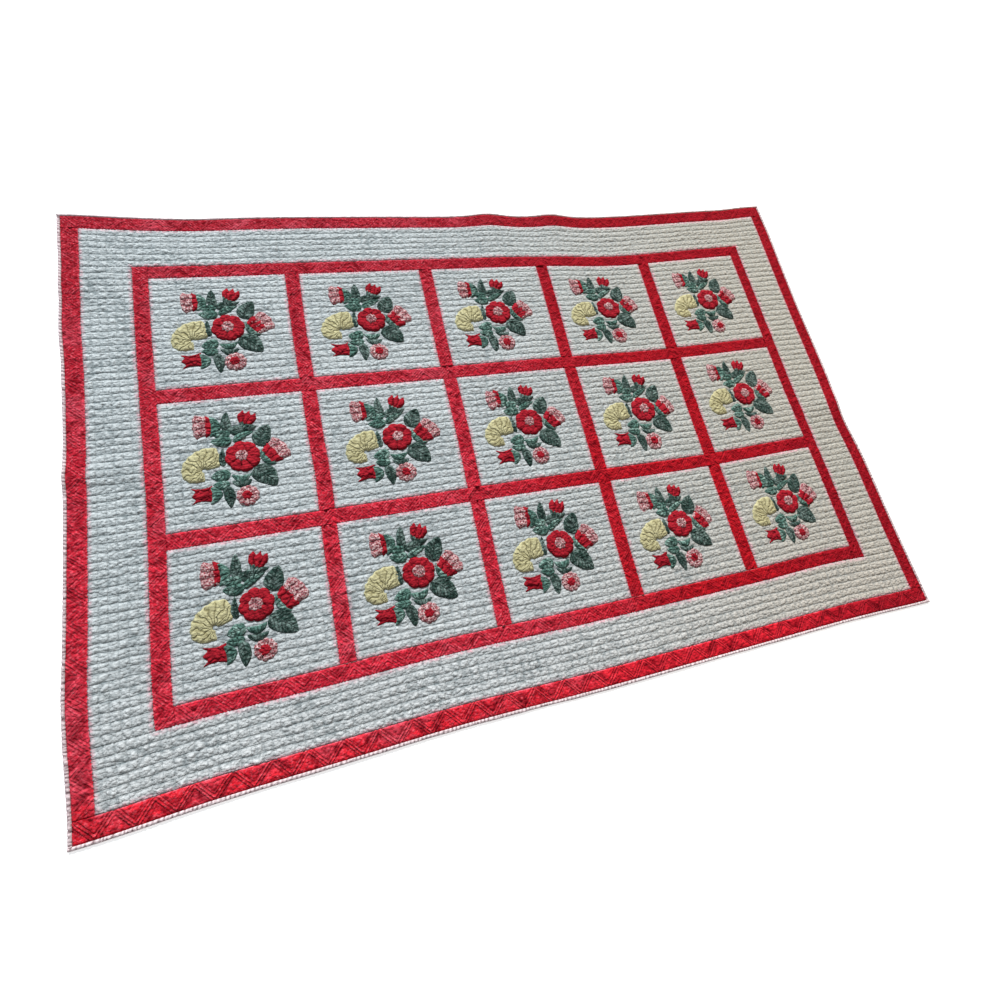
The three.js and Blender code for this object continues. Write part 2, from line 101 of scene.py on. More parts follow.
# Quilting of the red strips: stitched lines side by side in a zigzag, so many on each side of the middle one,
# with streaks that run along them and crumples that run across the strip
ZIGZAG_PERIOD = 78
ZIGZAG_LINES = 6.5
ZIGZAG_PUFF = 2.6
ZIGZAG_BASE = 0.8
ZIGZAG_DRIFT = 0.04
ZIGZAG_WANDER = 0.06
ZIGZAG_WANDER_LENGTH = 15
ZIGZAG_SEED = 24
STREAK = 1.5
STREAK_PITCH = 5.5
STREAK_LENGTH = 24
STREAK_SEED = 23
CRUMPLE_LEAN = 0.4
FRAY_REACH = 1.5
STRIP_STEP = 3.4
STRIP_CELLS = 12

# Each kind of red strip: its lines on each side of the middle one, how sharp they are and its crumples in mm
STRIP_LOOKS = {
    "sash_row": (2, 0.4, 2.1),
    "sash_upright": (2, 0.4, 2.5),
    "band_top": (2, 0.4, 2.1),
    "band_bottom": (1, 0.7, 1),
    "band_left": (2, 0.35, 2.3),
    "band_right": (2, 0.3, 2.2),
}

# Binding: its rolled section as shares of its width and heights in mm, and the puckers along it
ROLL_SHARES = (0, 0.1, 0.3, 0.55, 0.78, 0.94, 1, 0.94, 0.84, 0)
ROLL_HEIGHTS = (3.2, 4.6, 5.5, 5.6, 4.9, 3.6, 2.2, 0.9, 0, 0)
ROLL_STEP = 3.1
ROLL_PUCKER = 1.8
ROLL_PUCKER_PITCH = 9.6
ROLL_PUCKER_SLANT = 0.2
ROLL_GATHERED = {"bottom": 0.7, "top": 0.25, "right": 0.8, "left": 1}
ROLL_ROUND = 3

# Where the cloth is pushed along X and Y off its ruled shape
PUSHES = table(
    "x y reach_x reach_y push_x push_y",
    (1190, 800, 330, 420, 6, 27),
    (1190, 600, 110, 160, 7, 0),
    (1190, -120, 110, 110, -13, 0),
    (1190, -790, 220, 200, 7, -10),
    (1150, 0, 90, 2400, -3, 0),
    (1150, -70, 90, 45, -5, 0),
    (1010, 745, 120, 130, 0, -6),
    (980, 20, 60, 200, -4, 0),
    (850, -588, 150, 90, 0, 5),
    (600, 0, 110, 700, -7, 0),
    (560, 0, 50, 900, -7, 0),
    (600, -60, 260, 330, 0, -7),
    (480, 590, 220, 330, 0, -12),
    (330, -196, 330, 100, 0, -6),
    (250, 760, 480, 130, 0, -7),
    (198, -420, 70, 190, -4, 0),
    (198, 190, 70, 170, -4.5, 0),
    (150, 196, 650, 100, 0, -6),
    (288, 790, 80, 130, 0, 4),
    (55, 790, 90, 130, 0, 4),
    (0, 590, 1100, 90, 0, -4.5),
    (-198, 0, 70, 220, 4.5, 0),
    (-350, -700, 250, 220, 0, 8),
    (-450, 800, 800, 45, 0, -4.5),
    (-597, 390, 70, 170, -4, 0),
    (-597, -90, 70, 90, 4, 0),
    (-860, 790, 140, 140, 0, -6),
    (-985, -110, 70, 250, 5, 0),
    (-1180, 20, 200, 330, 4, 0),
    (-1180, -530, 200, 130, -6, 0),
    (-1190, 800, 140, 260, -6, 12),
    (-1190, -790, 230, 260, 9, -15),
    (-1190, 0, 120, 2400, 8, 0),
    (-1190, 425, 110, 75, -4, 0),
)

# Soft folds and ripples that lift the face
FOLDS = table(
    "x y reach_x reach_y rise",
    (-1190, 4, 190, 34, 7),
    (1190, -70, 150, 45, 7),
    (-1190, 560, 110, 40, 4),
    (55, 790, 60, 110, 8),
    (288, 790, 55, 110, 8),
    (1190, 790, 200, 160, 6),
)
RIPPLE = 0.5
SHIFT_STEPS = 400

# One spray. A leaf, cup, fan, tulip or star starts at x, y and runs along turn, in degrees. A flower has
# its middle there, long is its radius and wide its number of petals. Higher layers lie over lower ones.
SPRAY = table(
    "cloth kind x y turn long wide layer",
    ("green_print", "leaf", -42, -14, 92, 54, 18, 0),
    ("green_print", "leaf", -25, 77, 92, 64, 26, 0),
    ("green", "leaf", -18, 79, 175, 46, 25, 1),
    ("green", "leaf", -16, 57, 176, 49, 30, 1),
    ("green", "leaf", -17, 55, 27, 58, 21, 1),
    ("green_print", "leaf", 46, 34, 66, 66, 47, 0),
    ("green_print", "leaf", 31, -23, -43, 77, 54, 0),
    ("green", "leaf", -24, -34, 190, 46, 33, 1),
    ("green", "leaf", -26, -62, 174, 42, 25, 1),
    ("green_print", "leaf", -35, -68, -85, 60, 28, 0),
    ("green_print", "cup", 1, -76, 88, 20, 48, 0),
    ("green", "cup", 0, -60, 91, 23, 46, 1),
    ("rose_print", "tulip", -66, 103, 181, 43, 62, 0),
    ("red", "tulip", -64, 103, 181, 19, 58, 1),
    ("green", "cup", -41, 101, 182, 29, 58, 2),
    ("red", "fan", 13, 96, 68, 50, 48, 1),
    ("green_print", "cup", 10, 82, 62, 28, 46, 2),
    ("green_print", "leaf", -21, 79, 8, 48, 27, 0),
    ("rose_print", "tulip", 66, 3, 33, 60, 62, 0),
    ("red", "tulip", 62, 0, 33, 38, 58, 1),
    ("green", "cup", 53, -8, 34, 21, 58, 2),
    ("red", "star", -70, -84, 181, 51, 44, 0),
    ("green", "cup", -47, -87, 184, 29, 46, 1),
    ("rose_print", "flower", 12, -98, 8, 28, 10, 0),
    ("red", "flower", 12, -98, 0, 14, 6, 3),
    ("red", "flower", 6, 11, 10, 42, 8, 2),
    ("rose_print", "flower", 6, 12, 0, 17.5, 7, 5),
)

# The yellow half flower: how far it reaches from its notch, at even turns from the first to the last, in
# degrees, and how its gathers drift
SHELL = {"x": -86, "y": -22, "first": 12, "last": 272, "notch": 5, "rays": 12}
SHELL_REACH = (39, 49, 67, 62, 57, 55, 55, 53, 44, 32, 28)
SHELL_DRIFT = 0.45

# How far off the middle of its block each spray is set: one line for a row of blocks, from the left
SET = table(
    "x y",
    ((6, 0, -1, -6, 1), (-10, -12, -13, -14, -13)),
    ((7, 10, 7, -1, 2), (-7, -6, -12, -10, 0)),
    ((4, 0, 2, -2, 7), (-2, -2, 2, -7, -2)),
)

# Each spray is also turned a little, in degrees, in its own way
TURN = {"most": 1.6, "per_row": 2.9, "per_column": 1.9, "start": 2}
SPRAY_SEED = {"per_row": 17, "per_column": 5, "start": 101}

# How far a piece may be from its place in the layout: in degrees, as a share of its length, and in mm
VARY = {"turn": 4, "long": 0.05, "place": 1.5}

# Relief of the sewn-on pieces, with veins, midribs and lumps, and the calmer half flower
PIECE_STEP = 3.1
PIECE_FOOT = 0.5
PIECE_EDGE = 0.8
PIECE_RISE = 3.4
PIECE_ROUND = 2.6
LAYER_RISE = 0.8
PERCHED_LAYER = 3
PERCHED_RISE = 2.6
VEIN_PITCH = 11
VEIN_DEPTH = 2.5
VEIN_WANDER = 0.3
PETAL_VEIN = 0.1
PETAL_WANDER = 0.18
RIB_DEPTH = 1.2
RIB_WIDTH = 2.4
NO_RIB = 40
LUMP = 1.8
LUMP_CREASE = 0.18
CUT_WANDER = 1.1
RIM_CALM = 2.5
# Painted shade along the rims of the pieces, and its reach in mm
RIM_SHADE = 0.4
RIM_SHADE_REACH = 1.3
CALM_SHELL = 0.8
CALM_WANDER = 0.6

# How far round a spray the block's cloth is held down, and the places for which that is worked out once
TUCK_REACH = 3
FIELD_REACH = 165
FIELD_STEP = 2.5

# Unevenness of the cloths: how long its lumps are along and across, and its seed, to which creases
# and sprays add their own
UNEVEN = {
    "lift": (130, 110, 3),
    "plump": (CELL_LONG, CELL_WIDE, 5),
    "dimple": (28, 17, 6),
    "crease_way": (60, 50, 8),
    "crease_depth": (45, 38, 10),
    "column_wander": (40, 60, 11),
    "row_wander": (34, 30, 12),
    "side_teeth": (90, 8, 13),
    "end_teeth": (8, 90, 14),
    "fine_wander": (12, 18, 15),
    "zigzag_drift": (90, 300, 21),
    "zigzag_puff": (26, 26, 22),
    "fraying": (7, 7, 26),
    "roll_gathers": (21, 9, 31),
    "roll_width": (55, 1, 32),
    "crumples": (7, 12, 25),
    "shell_drift": (1 / 9, 0.4, 41),
    "creases": (9, 16, 0),
    "cut_x": (9, 9, 1),
    "cut_y": (9, 9, 2),
    "vein_drift": (8, 8, 3),
}


def hashed(i, j, seed):
    """Repeatable value from 0 to 1 at whole-number places."""
    n = (i * 374761393 + j * 668265263 + seed * 974634777) & 0xFFFFFFFF
    n = ((n ^ (n >> 13)) * 1274126177) & 0xFFFFFFFF
    return ((n ^ (n >> 16)) & 0xFFFF) / 65535


def noise(x, y, seed):
    """Smooth unevenness from -1 to 1, with one lump to a unit."""
    x, y = np.broadcast_arrays(np.asarray(x, float), np.asarray(y, float))
    i = np.floor(x).astype(np.int64)
    j = np.floor(y).astype(np.int64)
    u = x - i
    v = y - j
    u = u * u * (3 - 2 * u)
    v = v * v * (3 - 2 * v)
    near = hashed(i, j, seed) * (1 - u) + hashed(i + 1, j, seed) * u
    far = hashed(i, j + 1, seed) * (1 - u) + hashed(i + 1, j + 1, seed) * u
    return 2 * (near * (1 - v) + far * v) - 1


def uneven(kind, x, y, first_seed=0):
    """Smooth unevenness of one kind, from -1 to 1."""
    long, wide, seed = UNEVEN[kind]
    return noise(x / long, y / wide, first_seed + seed)


def crossed(along, across):
    """Values of two rows of marks at all the places of their grid."""
    return np.meshgrid(along, across, indexing="ij")


def outward(count, size):
    """Half the ruled width or height out to each outer seam."""
    sash = (count * size + (count + 1) * SASH) / 2
    border = sash + BORDER
    band = border + BAND
    return {"inside": sash - SASH, "sash": sash, "border": border, "band": band, "edge": band + BINDING}


EDGE_X = outward(COLUMNS, BLOCK_WIDTH)
EDGE_Y = outward(ROWS, BLOCK_HEIGHT)


def felt(place, x, y):
    """Share of a push or fold that is felt at x, y."""
    across = (x - place["x"]) / place["reach_x"]
    along = (y - place["y"]) / place["reach_y"]
    return np.exp(-(across**2) - along**2)


def pushed(x, y):
    """Places of the ruled quilt as the cloth lies."""
    shares = [felt(place, x, y) for place in PUSHES]
    out_x = x + sum(place["push_x"] * share for place, share in zip(PUSHES, shares))
    out_y = y + sum(place["push_y"] * share for place, share in zip(PUSHES, shares))
    return out_x, out_y


def lift(x, y):
    """Lift of the face by folds, with a slight unevenness all over."""
    folds = sum(fold["rise"] * felt(fold, x, y) for fold in FOLDS)
    return folds + RIPPLE + RIPPLE * uneven("lift", x, y)


def frame_shift():
    """From the ruled quilt's middle to the frame's, which is the middle of the solids' box."""
    marks = np.linspace(-1, 1, SHIFT_STEPS)
    x, y = pushed(*crossed(marks * EDGE_X["edge"], marks * EDGE_Y["edge"]))
    middle = Vector((x.min() + x.max(), y.min() + y.max())) / 2
    return (CAD_LOW + CAD_HIGH).to_2d() / 2 / MM - middle


SHIFT = frame_shift()


def placed(name, data):
    """A new object in the scene."""
    made = bpy.data.objects.new(name, data)
    bpy.context.scene.collection.objects.link(made)
    return made


class Cloth:
    """One piece of cloth in the making: points in mm, faces, and what the material reads at each point."""

    def __init__(self):
        self.points = []
        self.shade_and_fray = []
        self.stitch = []
        self.faces = []
        self.smooth = []
        self.count = 0

    def add(self, x, y, z, shade_and_fray=0, stitch=(0, 0, 0)):
        """Adds points of the ruled quilt as they lie and returns their numbers, in the shape of x."""
        values = (x, y, z, shade_and_fray, *stitch)
        x, y, z, shade_and_fray, *stitch = np.broadcast_arrays(*(np.asarray(value, float) for value in values))
        lain_x, lain_y = pushed(x, y)
        self.points.append(np.stack([lain_x + SHIFT.x, lain_y + SHIFT.y, z], -1).reshape(-1, 3))
        self.shade_and_fray.append(shade_and_fray.ravel())
        self.stitch.append(np.stack(stitch, -1).reshape(-1, 3))
        index = np.arange(self.count, self.count + x.size).reshape(x.shape)
        self.count += x.size
        return index

    def quads(self, a, b, c, d, smooth=True):
        self.add_faces(np.stack([a, b, c, d], -1).reshape(-1, 4).tolist(), smooth)

    def add_faces(self, faces, smooth=True):
        self.faces.extend(faces)
        self.smooth.extend([smooth] * len(faces))

    def grid(self, index, wrap=False):
        """Faces over a grid of points that runs along its first axis and to the left along its second."""
        if wrap:
            index = np.concatenate([index, index[:, :1]], 1)
        self.quads(index[:-1, :-1], index[1:, :-1], index[1:, 1:], index[:-1, 1:])

    def close(self, top, x, y, z):
        """Walls from a loop of points down to a like loop at z, and the face inside the lower one."""
        under = self.add(x, y, z)
        ahead_top = np.roll(top, -1)
        ahead_under = np.roll(under, -1)
        self.quads(top, under, ahead_under, ahead_top, False)
        self.add_faces([under[::-1].tolist()], False)

    def finish(self, name, nodes, material):
        """Makes the piece, which stands for those nodes."""
        mesh = bpy.data.meshes.new(name)
        mesh.from_pydata((np.concatenate(self.points) * MM).tolist(), [], self.faces)
        mesh.polygons.foreach_set("use_smooth", self.smooth)
        shade_and_fray = mesh.attributes.new("shade_and_fray", "FLOAT", "POINT")
        shade_and_fray.data.foreach_set("value", np.concatenate(self.shade_and_fray).astype(np.float32))
        stitch = mesh.attributes.new("stitch", "FLOAT_VECTOR", "POINT")
        stitch.data.foreach_set("vector", np.concatenate(self.stitch).astype(np.float32).ravel())
        mesh.materials.append(material)
        piece = placed(name, mesh)
        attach(piece, "root")
        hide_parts(*nodes)


def within(x, y, seam):
    """Distance of places inside an outer seam from it, below 0 outside."""
    return np.minimum(EDGE_X[seam] - np.abs(x), EDGE_Y[seam] - np.abs(y))


def beyond(x, y, seam):
    """Distance of places outside an outer seam from it, 0 inside."""
    return np.hypot(np.maximum(np.abs(x) - EDGE_X[seam], 0), np.maximum(np.abs(y) - EDGE_Y[seam], 0))


def from_red(x, y, from_edge):
    """Distance of places on the white cloth from the nearest red strip, given that from the panel's edge."""
    outside = beyond(x, y, "sash")
    return np.minimum(np.where(outside > 0, outside, from_edge), within(x, y, "border"))


def from_white(x, y):
    """Distance of places on the red cloth from the nearest white cloth."""
    inner = np.hypot(inside_sash(x, COLUMNS, BLOCK_WIDTH), inside_sash(y, ROWS, BLOCK_HEIGHT))
    outer = within(x, y, "sash")
    return np.where(outer > 0, np.minimum(inner, outer), beyond(x, y, "border"))


def inside_sash(across, count, size):
    """Depth inside the nearest sashing strip that is crossed, or 0 beside it."""
    pitch = size + SASH
    place = across / pitch + count / 2
    return np.maximum(SASH / 2 - np.abs(place - np.round(place)) * pitch, 0)


def rim(index):
    """Points round a grid, walked with the grid on the left."""
    return np.concatenate([index[:, 0], index[-1, 1:], index[-2::-1, -1], index[0, -2:0:-1]])


# Materials. Stitching: half the width of its hollows and of its thread, and its stitches to a cell or a mm
ROW_LINE = 2.2
COLUMN_LINE = 2
LINE_STRENGTH = 0.55
THREAD_HALF = 0.4
STITCH_SHARE = 0.58
ROW_STITCHES = 4.5
COLUMN_STITCHES = 4.2
ZIGZAG_LINE = 1.6
ZIGZAG_STITCHES = 0.2
# Ridges halfway between the zigzag lines: half their width in mm and their share of the gathers, which raise
# the bump and carry painted highlights
ZIGZAG_RIDGE = 2
RIDGE_LIGHT = 0.5
VEIN_LINE = 2
RIB_LINE = 1.8
SEWN_AT = 1.2
SEWN_HALF = 0.35
SEWN_SHOWN = 0.25
INSIDE_RIM = (1, 4)

# Fine gathers: how many there are to a cell or a vein, and how long they are beside a zigzag or a midrib
GATHERS_LONG = 4.2
GATHERS_WIDE = 1.6
GATHERS_VEIN = 2.6
GATHER_PITCH = 3.4
GATHER_LENGTH = 14

# Patches and prints: how many there are to a metre, how fine and how twisted they are, and the values of
# their noise between which they come in
PATCHES = {
    "faded": (3.2, 3, 0, 0.35, 0.7),
    "patchy": (42, 3, 0, 0.3, 0.75),
    "stained": (110, 2, 0, 0.4, 0.62),
    "pink": (9, 3, 0, 0.5, 0.7),
    # Painted highlight specks on the red cloth
    "highlight_specks": (190, 3, 0, 0.46, 0.66),
    "deep": (60, 3, 0, 0.46, 0.66),
    "rose_sprigs": (330, 2, 1.2, 0.5, 0.58),
    "leaf_clouds": (55, 2, 0.8, 0.46, 0.6),
    "leaf_sprigs": (190, 1, 1.5, 0.56, 0.68),
    # Painted highlights on the folds of the plain green, and painted shade beside them
    "fold_highlights": (65, 2, 0.6, 0.48, 0.64),
    "fold_shade": (110, 2, 0.6, 0.52, 0.64),
}
ROSE_DOTS = 170
ROSE_DOT_EDGE = (0.42, 0.3)

# Painted light and shade, fading, fraying and stains on the cloths: in metres along the quilt or up it, from
# the start to where it is strongest
# Painted warm light on the white cloth towards the right end
WARM_LIGHT_RIGHT = (-0.3, 1)
# Painted light along the near edge, on the white cloth and on the red
WHITE_NEAR_LIGHT = (-0.3, -0.75)
RED_NEAR_LIGHT = (-0.62, -0.76)
# Painted shade on the red towards the far edge and towards the right end
FAR_SHADE = (-0.6, 0.9)
RIGHT_END_SHADE = (0.5, 1.05)
# Painted light on the red towards the left end, where it is also faded to pink in patches: the ramp, and how
# fast and far its edge wanders
LEFT_END = (0.75, 0.1)
LEFT_END_RATE = 2.5
LEFT_END_WANDER = 0.8
FRAYED = (-0.2, -1)
STAIN_REACH = 12
STAIN_LEAST = 0.25

# Relief in mm that the bump of every cotton is made of, and how many creases and lumps there are to a metre
LINE_DEPTH = 1.7
GATHER_DEPTH = 2
FINE_CREASE = 1.8
FINE_CREASE_RATE = 260
FINE_CREASE_TWIST = 0.5
LUMP_RATE = 112
LUMP_SLANT = -0.4
LUMP_FLATNESS = 1.35
WEAVE_DEPTH = 0.05
WEAVE_PITCH = 0.7

# How colours change on every cotton: where worn or in patches, with painted shade in its hollows and painted
# highlights on its gathers
WEAR = table("kind share tint", ("faded", 0.7, 1.14), ("patchy", 0.35, 0.86))
# Where painted shade comes in on the edges of the small lumps, and its strength there and in the quilting
# lines
LUMP_EDGE = (0.45, 0.8)
LUMP_SHADE = 0.2
LINE_SHADE = 0.8
# Where painted highlights come in on the gathers, and how strong they are
GATHER_TOPS = (0.5, 0.75)
GATHER_HIGHLIGHT = 0.4
THREAD_SHOWN = 0.3
# Tints of the painted highlights on the gathers
PLAIN_HIGHLIGHT = (1.3, 1.3, 1.3)
GREEN_HIGHLIGHT = (1.9, 1.9, 1.9)

# Colours of each cotton's face and of the painted shade in its hollows, and of thread that isn't of the
# cotton's own colour
COLOURS = {
    "white_cotton": ((0.56, 0.59, 0.595), (0.17, 0.205, 0.215)),
    "red_cotton": ((0.56, 0.009, 0.017), (0.18, 0.001, 0.006)),
    "binding_cotton": ((0.86, 0.71, 0.72), (0.2, 0.1, 0.11)),
    "red_applique": ((0.41, 0.015, 0.027), (0.1, 0.002, 0.006)),
    "green_cotton": ((0.115, 0.23, 0.19), (0.004, 0.016, 0.012)),
    "green_print": ((0.036, 0.076, 0.062), (0.003, 0.01, 0.008)),
    "yellow_cotton": ((0.57, 0.525, 0.3), (0.22, 0.185, 0.08)),
    "rose_print": ((0.76, 0.55, 0.54), (0.18, 0.035, 0.045)),
}
WHITE_THREAD = (0.66, 0.7, 0.71)
RED_THREAD = (0.55, 0.08, 0.1)


class Value:
    """A value in a material's node tree, to reckon with. The larger of two is written a | b."""

    def __init__(self, tree, socket):
        self.tree = tree
        self.socket = socket

    def calc(self, operation, *others):
        return value(self.tree, "Math", dict(enumerate((self, *others))), operation=operation)

    __add__ = partialmethod(calc, "ADD")
    __sub__ = partialmethod(calc, "SUBTRACT")
    __mul__ = partialmethod(calc, "MULTIPLY")
    __truediv__ = partialmethod(calc, "DIVIDE")
    __lt__ = partialmethod(calc, "LESS_THAN")
    __or__ = partialmethod(calc, "MAXIMUM")
    __abs__ = partialmethod(calc, "ABSOLUTE")


def node(tree, kind, inputs=None, **settings):
    """Adds a shader node. An input is a number, a colour or a value to be linked."""
    made = tree.nodes.new("ShaderNode" + kind)
    for name, setting in settings.items():
        setattr(made, name, setting)
    for name, given in (inputs or {}).items():
        if isinstance(given, Value):
            tree.links.new(given.socket, made.inputs[name])
        else:
            made.inputs[name].default_value = given
    return made


def value(tree, kind, inputs=None, output=0, **settings):
    """What an added shader node gives at one of its outputs."""
    return Value(tree, node(tree, kind, inputs, **settings).outputs[output])


def parts(vector):
    """The three parts of a vector."""
    made = node(vector.tree, "SeparateXYZ", {0: vector})
    return [Value(vector.tree, socket) for socket in made.outputs]


def layered(ground, *layers):
    """Ground with colours over it, each given by its share at a place, its strength and itself."""
    for share, strength, colour in layers:
        inputs = {0: share * strength, 6: ground, 7: (*colour, 1)}
        ground = value(share.tree, "Mix", inputs, 2, data_type="RGBA")
    return ground


def tinted(share, ground, tint):
    """Ground, or ground times tint where share is 1."""
    inputs = {0: share, 6: ground, 7: (*tint, 1)}
    return value(share.tree, "Mix", inputs, 2, data_type="RGBA", blend_type="MULTIPLY")


def ramp(given, low, high):
    """Share that goes from 0 where a value is low to 1 where it is high."""
    inputs = {"Value": given, "From Min": low, "From Max": high}
    return value(given.tree, "MapRange", inputs, interpolation_type="SMOOTHSTEP")


def grain(place, rate, detail=2, twist=0):
    """Unevenness from 0 to 1, with about so many lumps to a unit."""
    inputs = {"Vector": place, "Scale": rate, "Detail": detail, "Distortion": twist}
    return value(place.tree, "TexNoise", inputs, "Fac")


def grain_over(along, across, detail):
    """Unevenness over two values, with one lump to a unit."""
    return grain(value(along.tree, "CombineXYZ", {0: along, 1: across}), 1, detail)


def patches(place, kind):
    """1 in the patches of one kind and 0 between them."""
    rate, detail, twist, low, high = PATCHES[kind]
    return ramp(grain(place, rate, detail, twist), low, high)


def cells(place, rate):
    """Distance from the nearest of a scatter of dots, in units of their spacing."""
    inputs = {"Vector": place, "Scale": rate, "Randomness": 1}
    return value(place.tree, "TexVoronoi", inputs, "Distance", voronoi_dimensions="2D")


def beside(given, spacing):
    """Distance in mm from the nearest whole number, where whole numbers are spacing apart."""
    return abs((given + 0.5).calc("FRACT") - 0.5) * spacing


def trough(distance, reach):
    """1 on a line, down to 0 at reach beside it."""
    return ramp(distance, reach, 0)


def dashes(given, per_unit):
    """1 along each stitch of a running stitch and 0 between stitches."""
    return (given * per_unit).calc("FRACT") < STITCH_SHARE


def stitch_parts(tree):
    """The three values that a piece keeps at its points for its stitching."""
    return parts(value(tree, "Attribute", output="Vector", attribute_name="stitch"))


def shade_and_fray_of(tree):
    """Painted shade in a piece's hollows at its points, or below 0 how frayed its edge is."""
    return value(tree, "Attribute", output="Fac", attribute_name="shade_and_fray")


def grid_quilting(tree):
    """How strong the lines of the white cloth are, the thread in them and the unevenness beside them. Points
    keep their places in cells and their distance from the red cloth in mm."""
    along, across, _ = stitch_parts(tree)
    row = beside(across, CELL_WIDE)
    column = beside(along, CELL_LONG)
    lines = trough(row, ROW_LINE) | trough(column, COLUMN_LINE)
    on_row = (row < THREAD_HALF) * dashes(along, ROW_STITCHES)
    on_column = (column < THREAD_HALF) * dashes(across, COLUMN_STITCHES)
    gathers = grain_over(along * GATHERS_LONG, across * GATHERS_WIDE, 1)
    return lines * LINE_STRENGTH, on_row | on_column, gathers


def zigzag_quilting(tree):
    """The same for the red cloth. Points keep their place along the strip in mm and across the zigzag in
    lines, and the number of lines on each side of the middle one plus their sharpness as a fraction."""
    along, across, kind = stitch_parts(tree)
    sharp = kind.calc("FRACT")
    most = kind.calc("FLOOR")
    line = (across.calc("MINIMUM", most) | most * -1).calc("ROUND")
    away = abs(across - line) * ZIGZAG_LINES
    thread = (away < THREAD_HALF) * dashes(along, ZIGZAG_STITCHES)
    streaks = grain_over(along / STREAK_LENGTH, across * (ZIGZAG_LINES / GATHER_PITCH), 2)
    # Ridges between the lines add to the gathers, so they carry painted highlights as well as bump
    ridge = trough(abs(away - ZIGZAG_LINES / 2), ZIGZAG_RIDGE) * (abs(across) < most) * sharp
    return trough(away, ZIGZAG_LINE) * sharp, thread, streaks + ridge * RIDGE_LIGHT


def piece_quilting(tree):
    """The same for the sewn-on pieces. Points keep their place among the veins and their distances in mm from
    the rim and the midrib."""
    vein, away, rib = stitch_parts(tree)
    lines = trough(beside(vein, VEIN_PITCH), VEIN_LINE) | trough(rib, RIB_LINE)
    thread = trough(abs(away - SEWN_AT), SEWN_HALF) * SEWN_SHOWN
    gathers = grain_over(vein * GATHERS_VEIN, rib / GATHER_LENGTH, 2)
    return lines * ramp(away, *INSIDE_RIM), thread, gathers


def white_stains_and_light(place, ground):
    """White cloth, yellower at one end from painted warm light, paler along the near edge from painted light
    and stained pink beside the red strips.
    """
    _, _, away = stitch_parts(place.tree)
    along, up, _ = parts(place)
    # Painted warm light: yellower towards the right end
    ground = layered(ground, (ramp(along, *WARM_LIGHT_RIGHT), 1, (0.505, 0.478, 0.42)))
    # Painted light: paler along the near edge
    ground = tinted(ramp(up, *WHITE_NEAR_LIGHT), ground, (1.12, 1.08, 1.07))
    patchy = patches(place, "stained") + STAIN_LEAST
    return layered(ground, (trough(away, STAIN_REACH), patchy, (0.76, 0.42, 0.47)))


def red_wear_and_light(place, ground):
    """Red cloth, with painted light and painted highlight specks towards the left end, where it is faded to
    pink in patches, painted light along the near edge and painted shade towards the far edge and the right
    end."""
    along, up, _ = parts(place)
    # Share towards the left end: painted light there, and faded pink patches
    left_end = ramp(along + grain(place, LEFT_END_RATE) * LEFT_END_WANDER, *LEFT_END)
    # Share towards the far edge and the right end, darkened by painted shade
    far_shade = ramp(up, *FAR_SHADE) | ramp(along, *RIGHT_END_SHADE)
    return layered(
        ground,
        # Painted light towards the left end
        (left_end, 1, (0.72, 0.022, 0.046)),
        # Painted light along the near edge
        (ramp(up, *RED_NEAR_LIGHT), 1, (0.88, 0.022, 0.04)),
        # Painted shade towards the far edge and the right end
        (far_shade, 0.7, (0.3, 0.007, 0.016)),
        (patches(place, "pink") * left_end, 0.5, (0.74, 0.09, 0.14)),
        # Painted highlight specks towards the left end
        (patches(place, "highlight_specks") * left_end, 0.5, (0.9, 0.14, 0.19)),
        (patches(place, "deep"), 0.4, (0.3, 0.003, 0.012)),
        (ramp(shade_and_fray_of(place.tree), *FRAYED), 0.7, (0.74, 0.24, 0.3)),
    )


def rose_print(place, ground):
    """Small red flowers and sprigs on pale pink."""
    flowers = ramp(cells(place, ROSE_DOTS), *ROSE_DOT_EDGE)
    sprigs = patches(place, "rose_sprigs")
    return layered(ground, (sprigs, 0.8, (0.36, 0.08, 0.1)), (flowers, 0.85, (0.27, 0.02, 0.035)))


def leaf_print(place, ground):
    """Grey-green clouds and pale sprigs on dark green."""
    clouds = patches(place, "leaf_clouds")
    sprigs = patches(place, "leaf_sprigs")
    return layered(ground, (clouds, 1, (0.18, 0.255, 0.23)), (sprigs, 0.5, (0.36, 0.43, 0.4)))


def green_with_painted_folds(place, ground):
    """Plain green with painted highlights on its folds and painted shade beside them."""
    pale = patches(place, "fold_highlights")
    dark = patches(place, "fold_shade")
    return layered(ground, (pale, 1, (0.33, 0.49, 0.43)), (dark, 0.75, (0.016, 0.05, 0.04)))


def lump_distance(place):
    """Distance from the tops of small lumps of drawn-up cloth, in units of their spacing."""
    turn = {"Vector": place, "Rotation": (0, 0, LUMP_SLANT), "Scale": (1, LUMP_FLATNESS, 1)}
    return cells(value(place.tree, "Mapping", turn), LUMP_RATE)


def weave(place):
    """Height in mm of crossing threads."""
    per_metre = 2 * np.pi / (WEAVE_PITCH * MM)
    along, up, _ = parts(place)
    return (along * per_metre).calc("SINE") * (up * per_metre).calc("SINE") * WEAVE_DEPTH


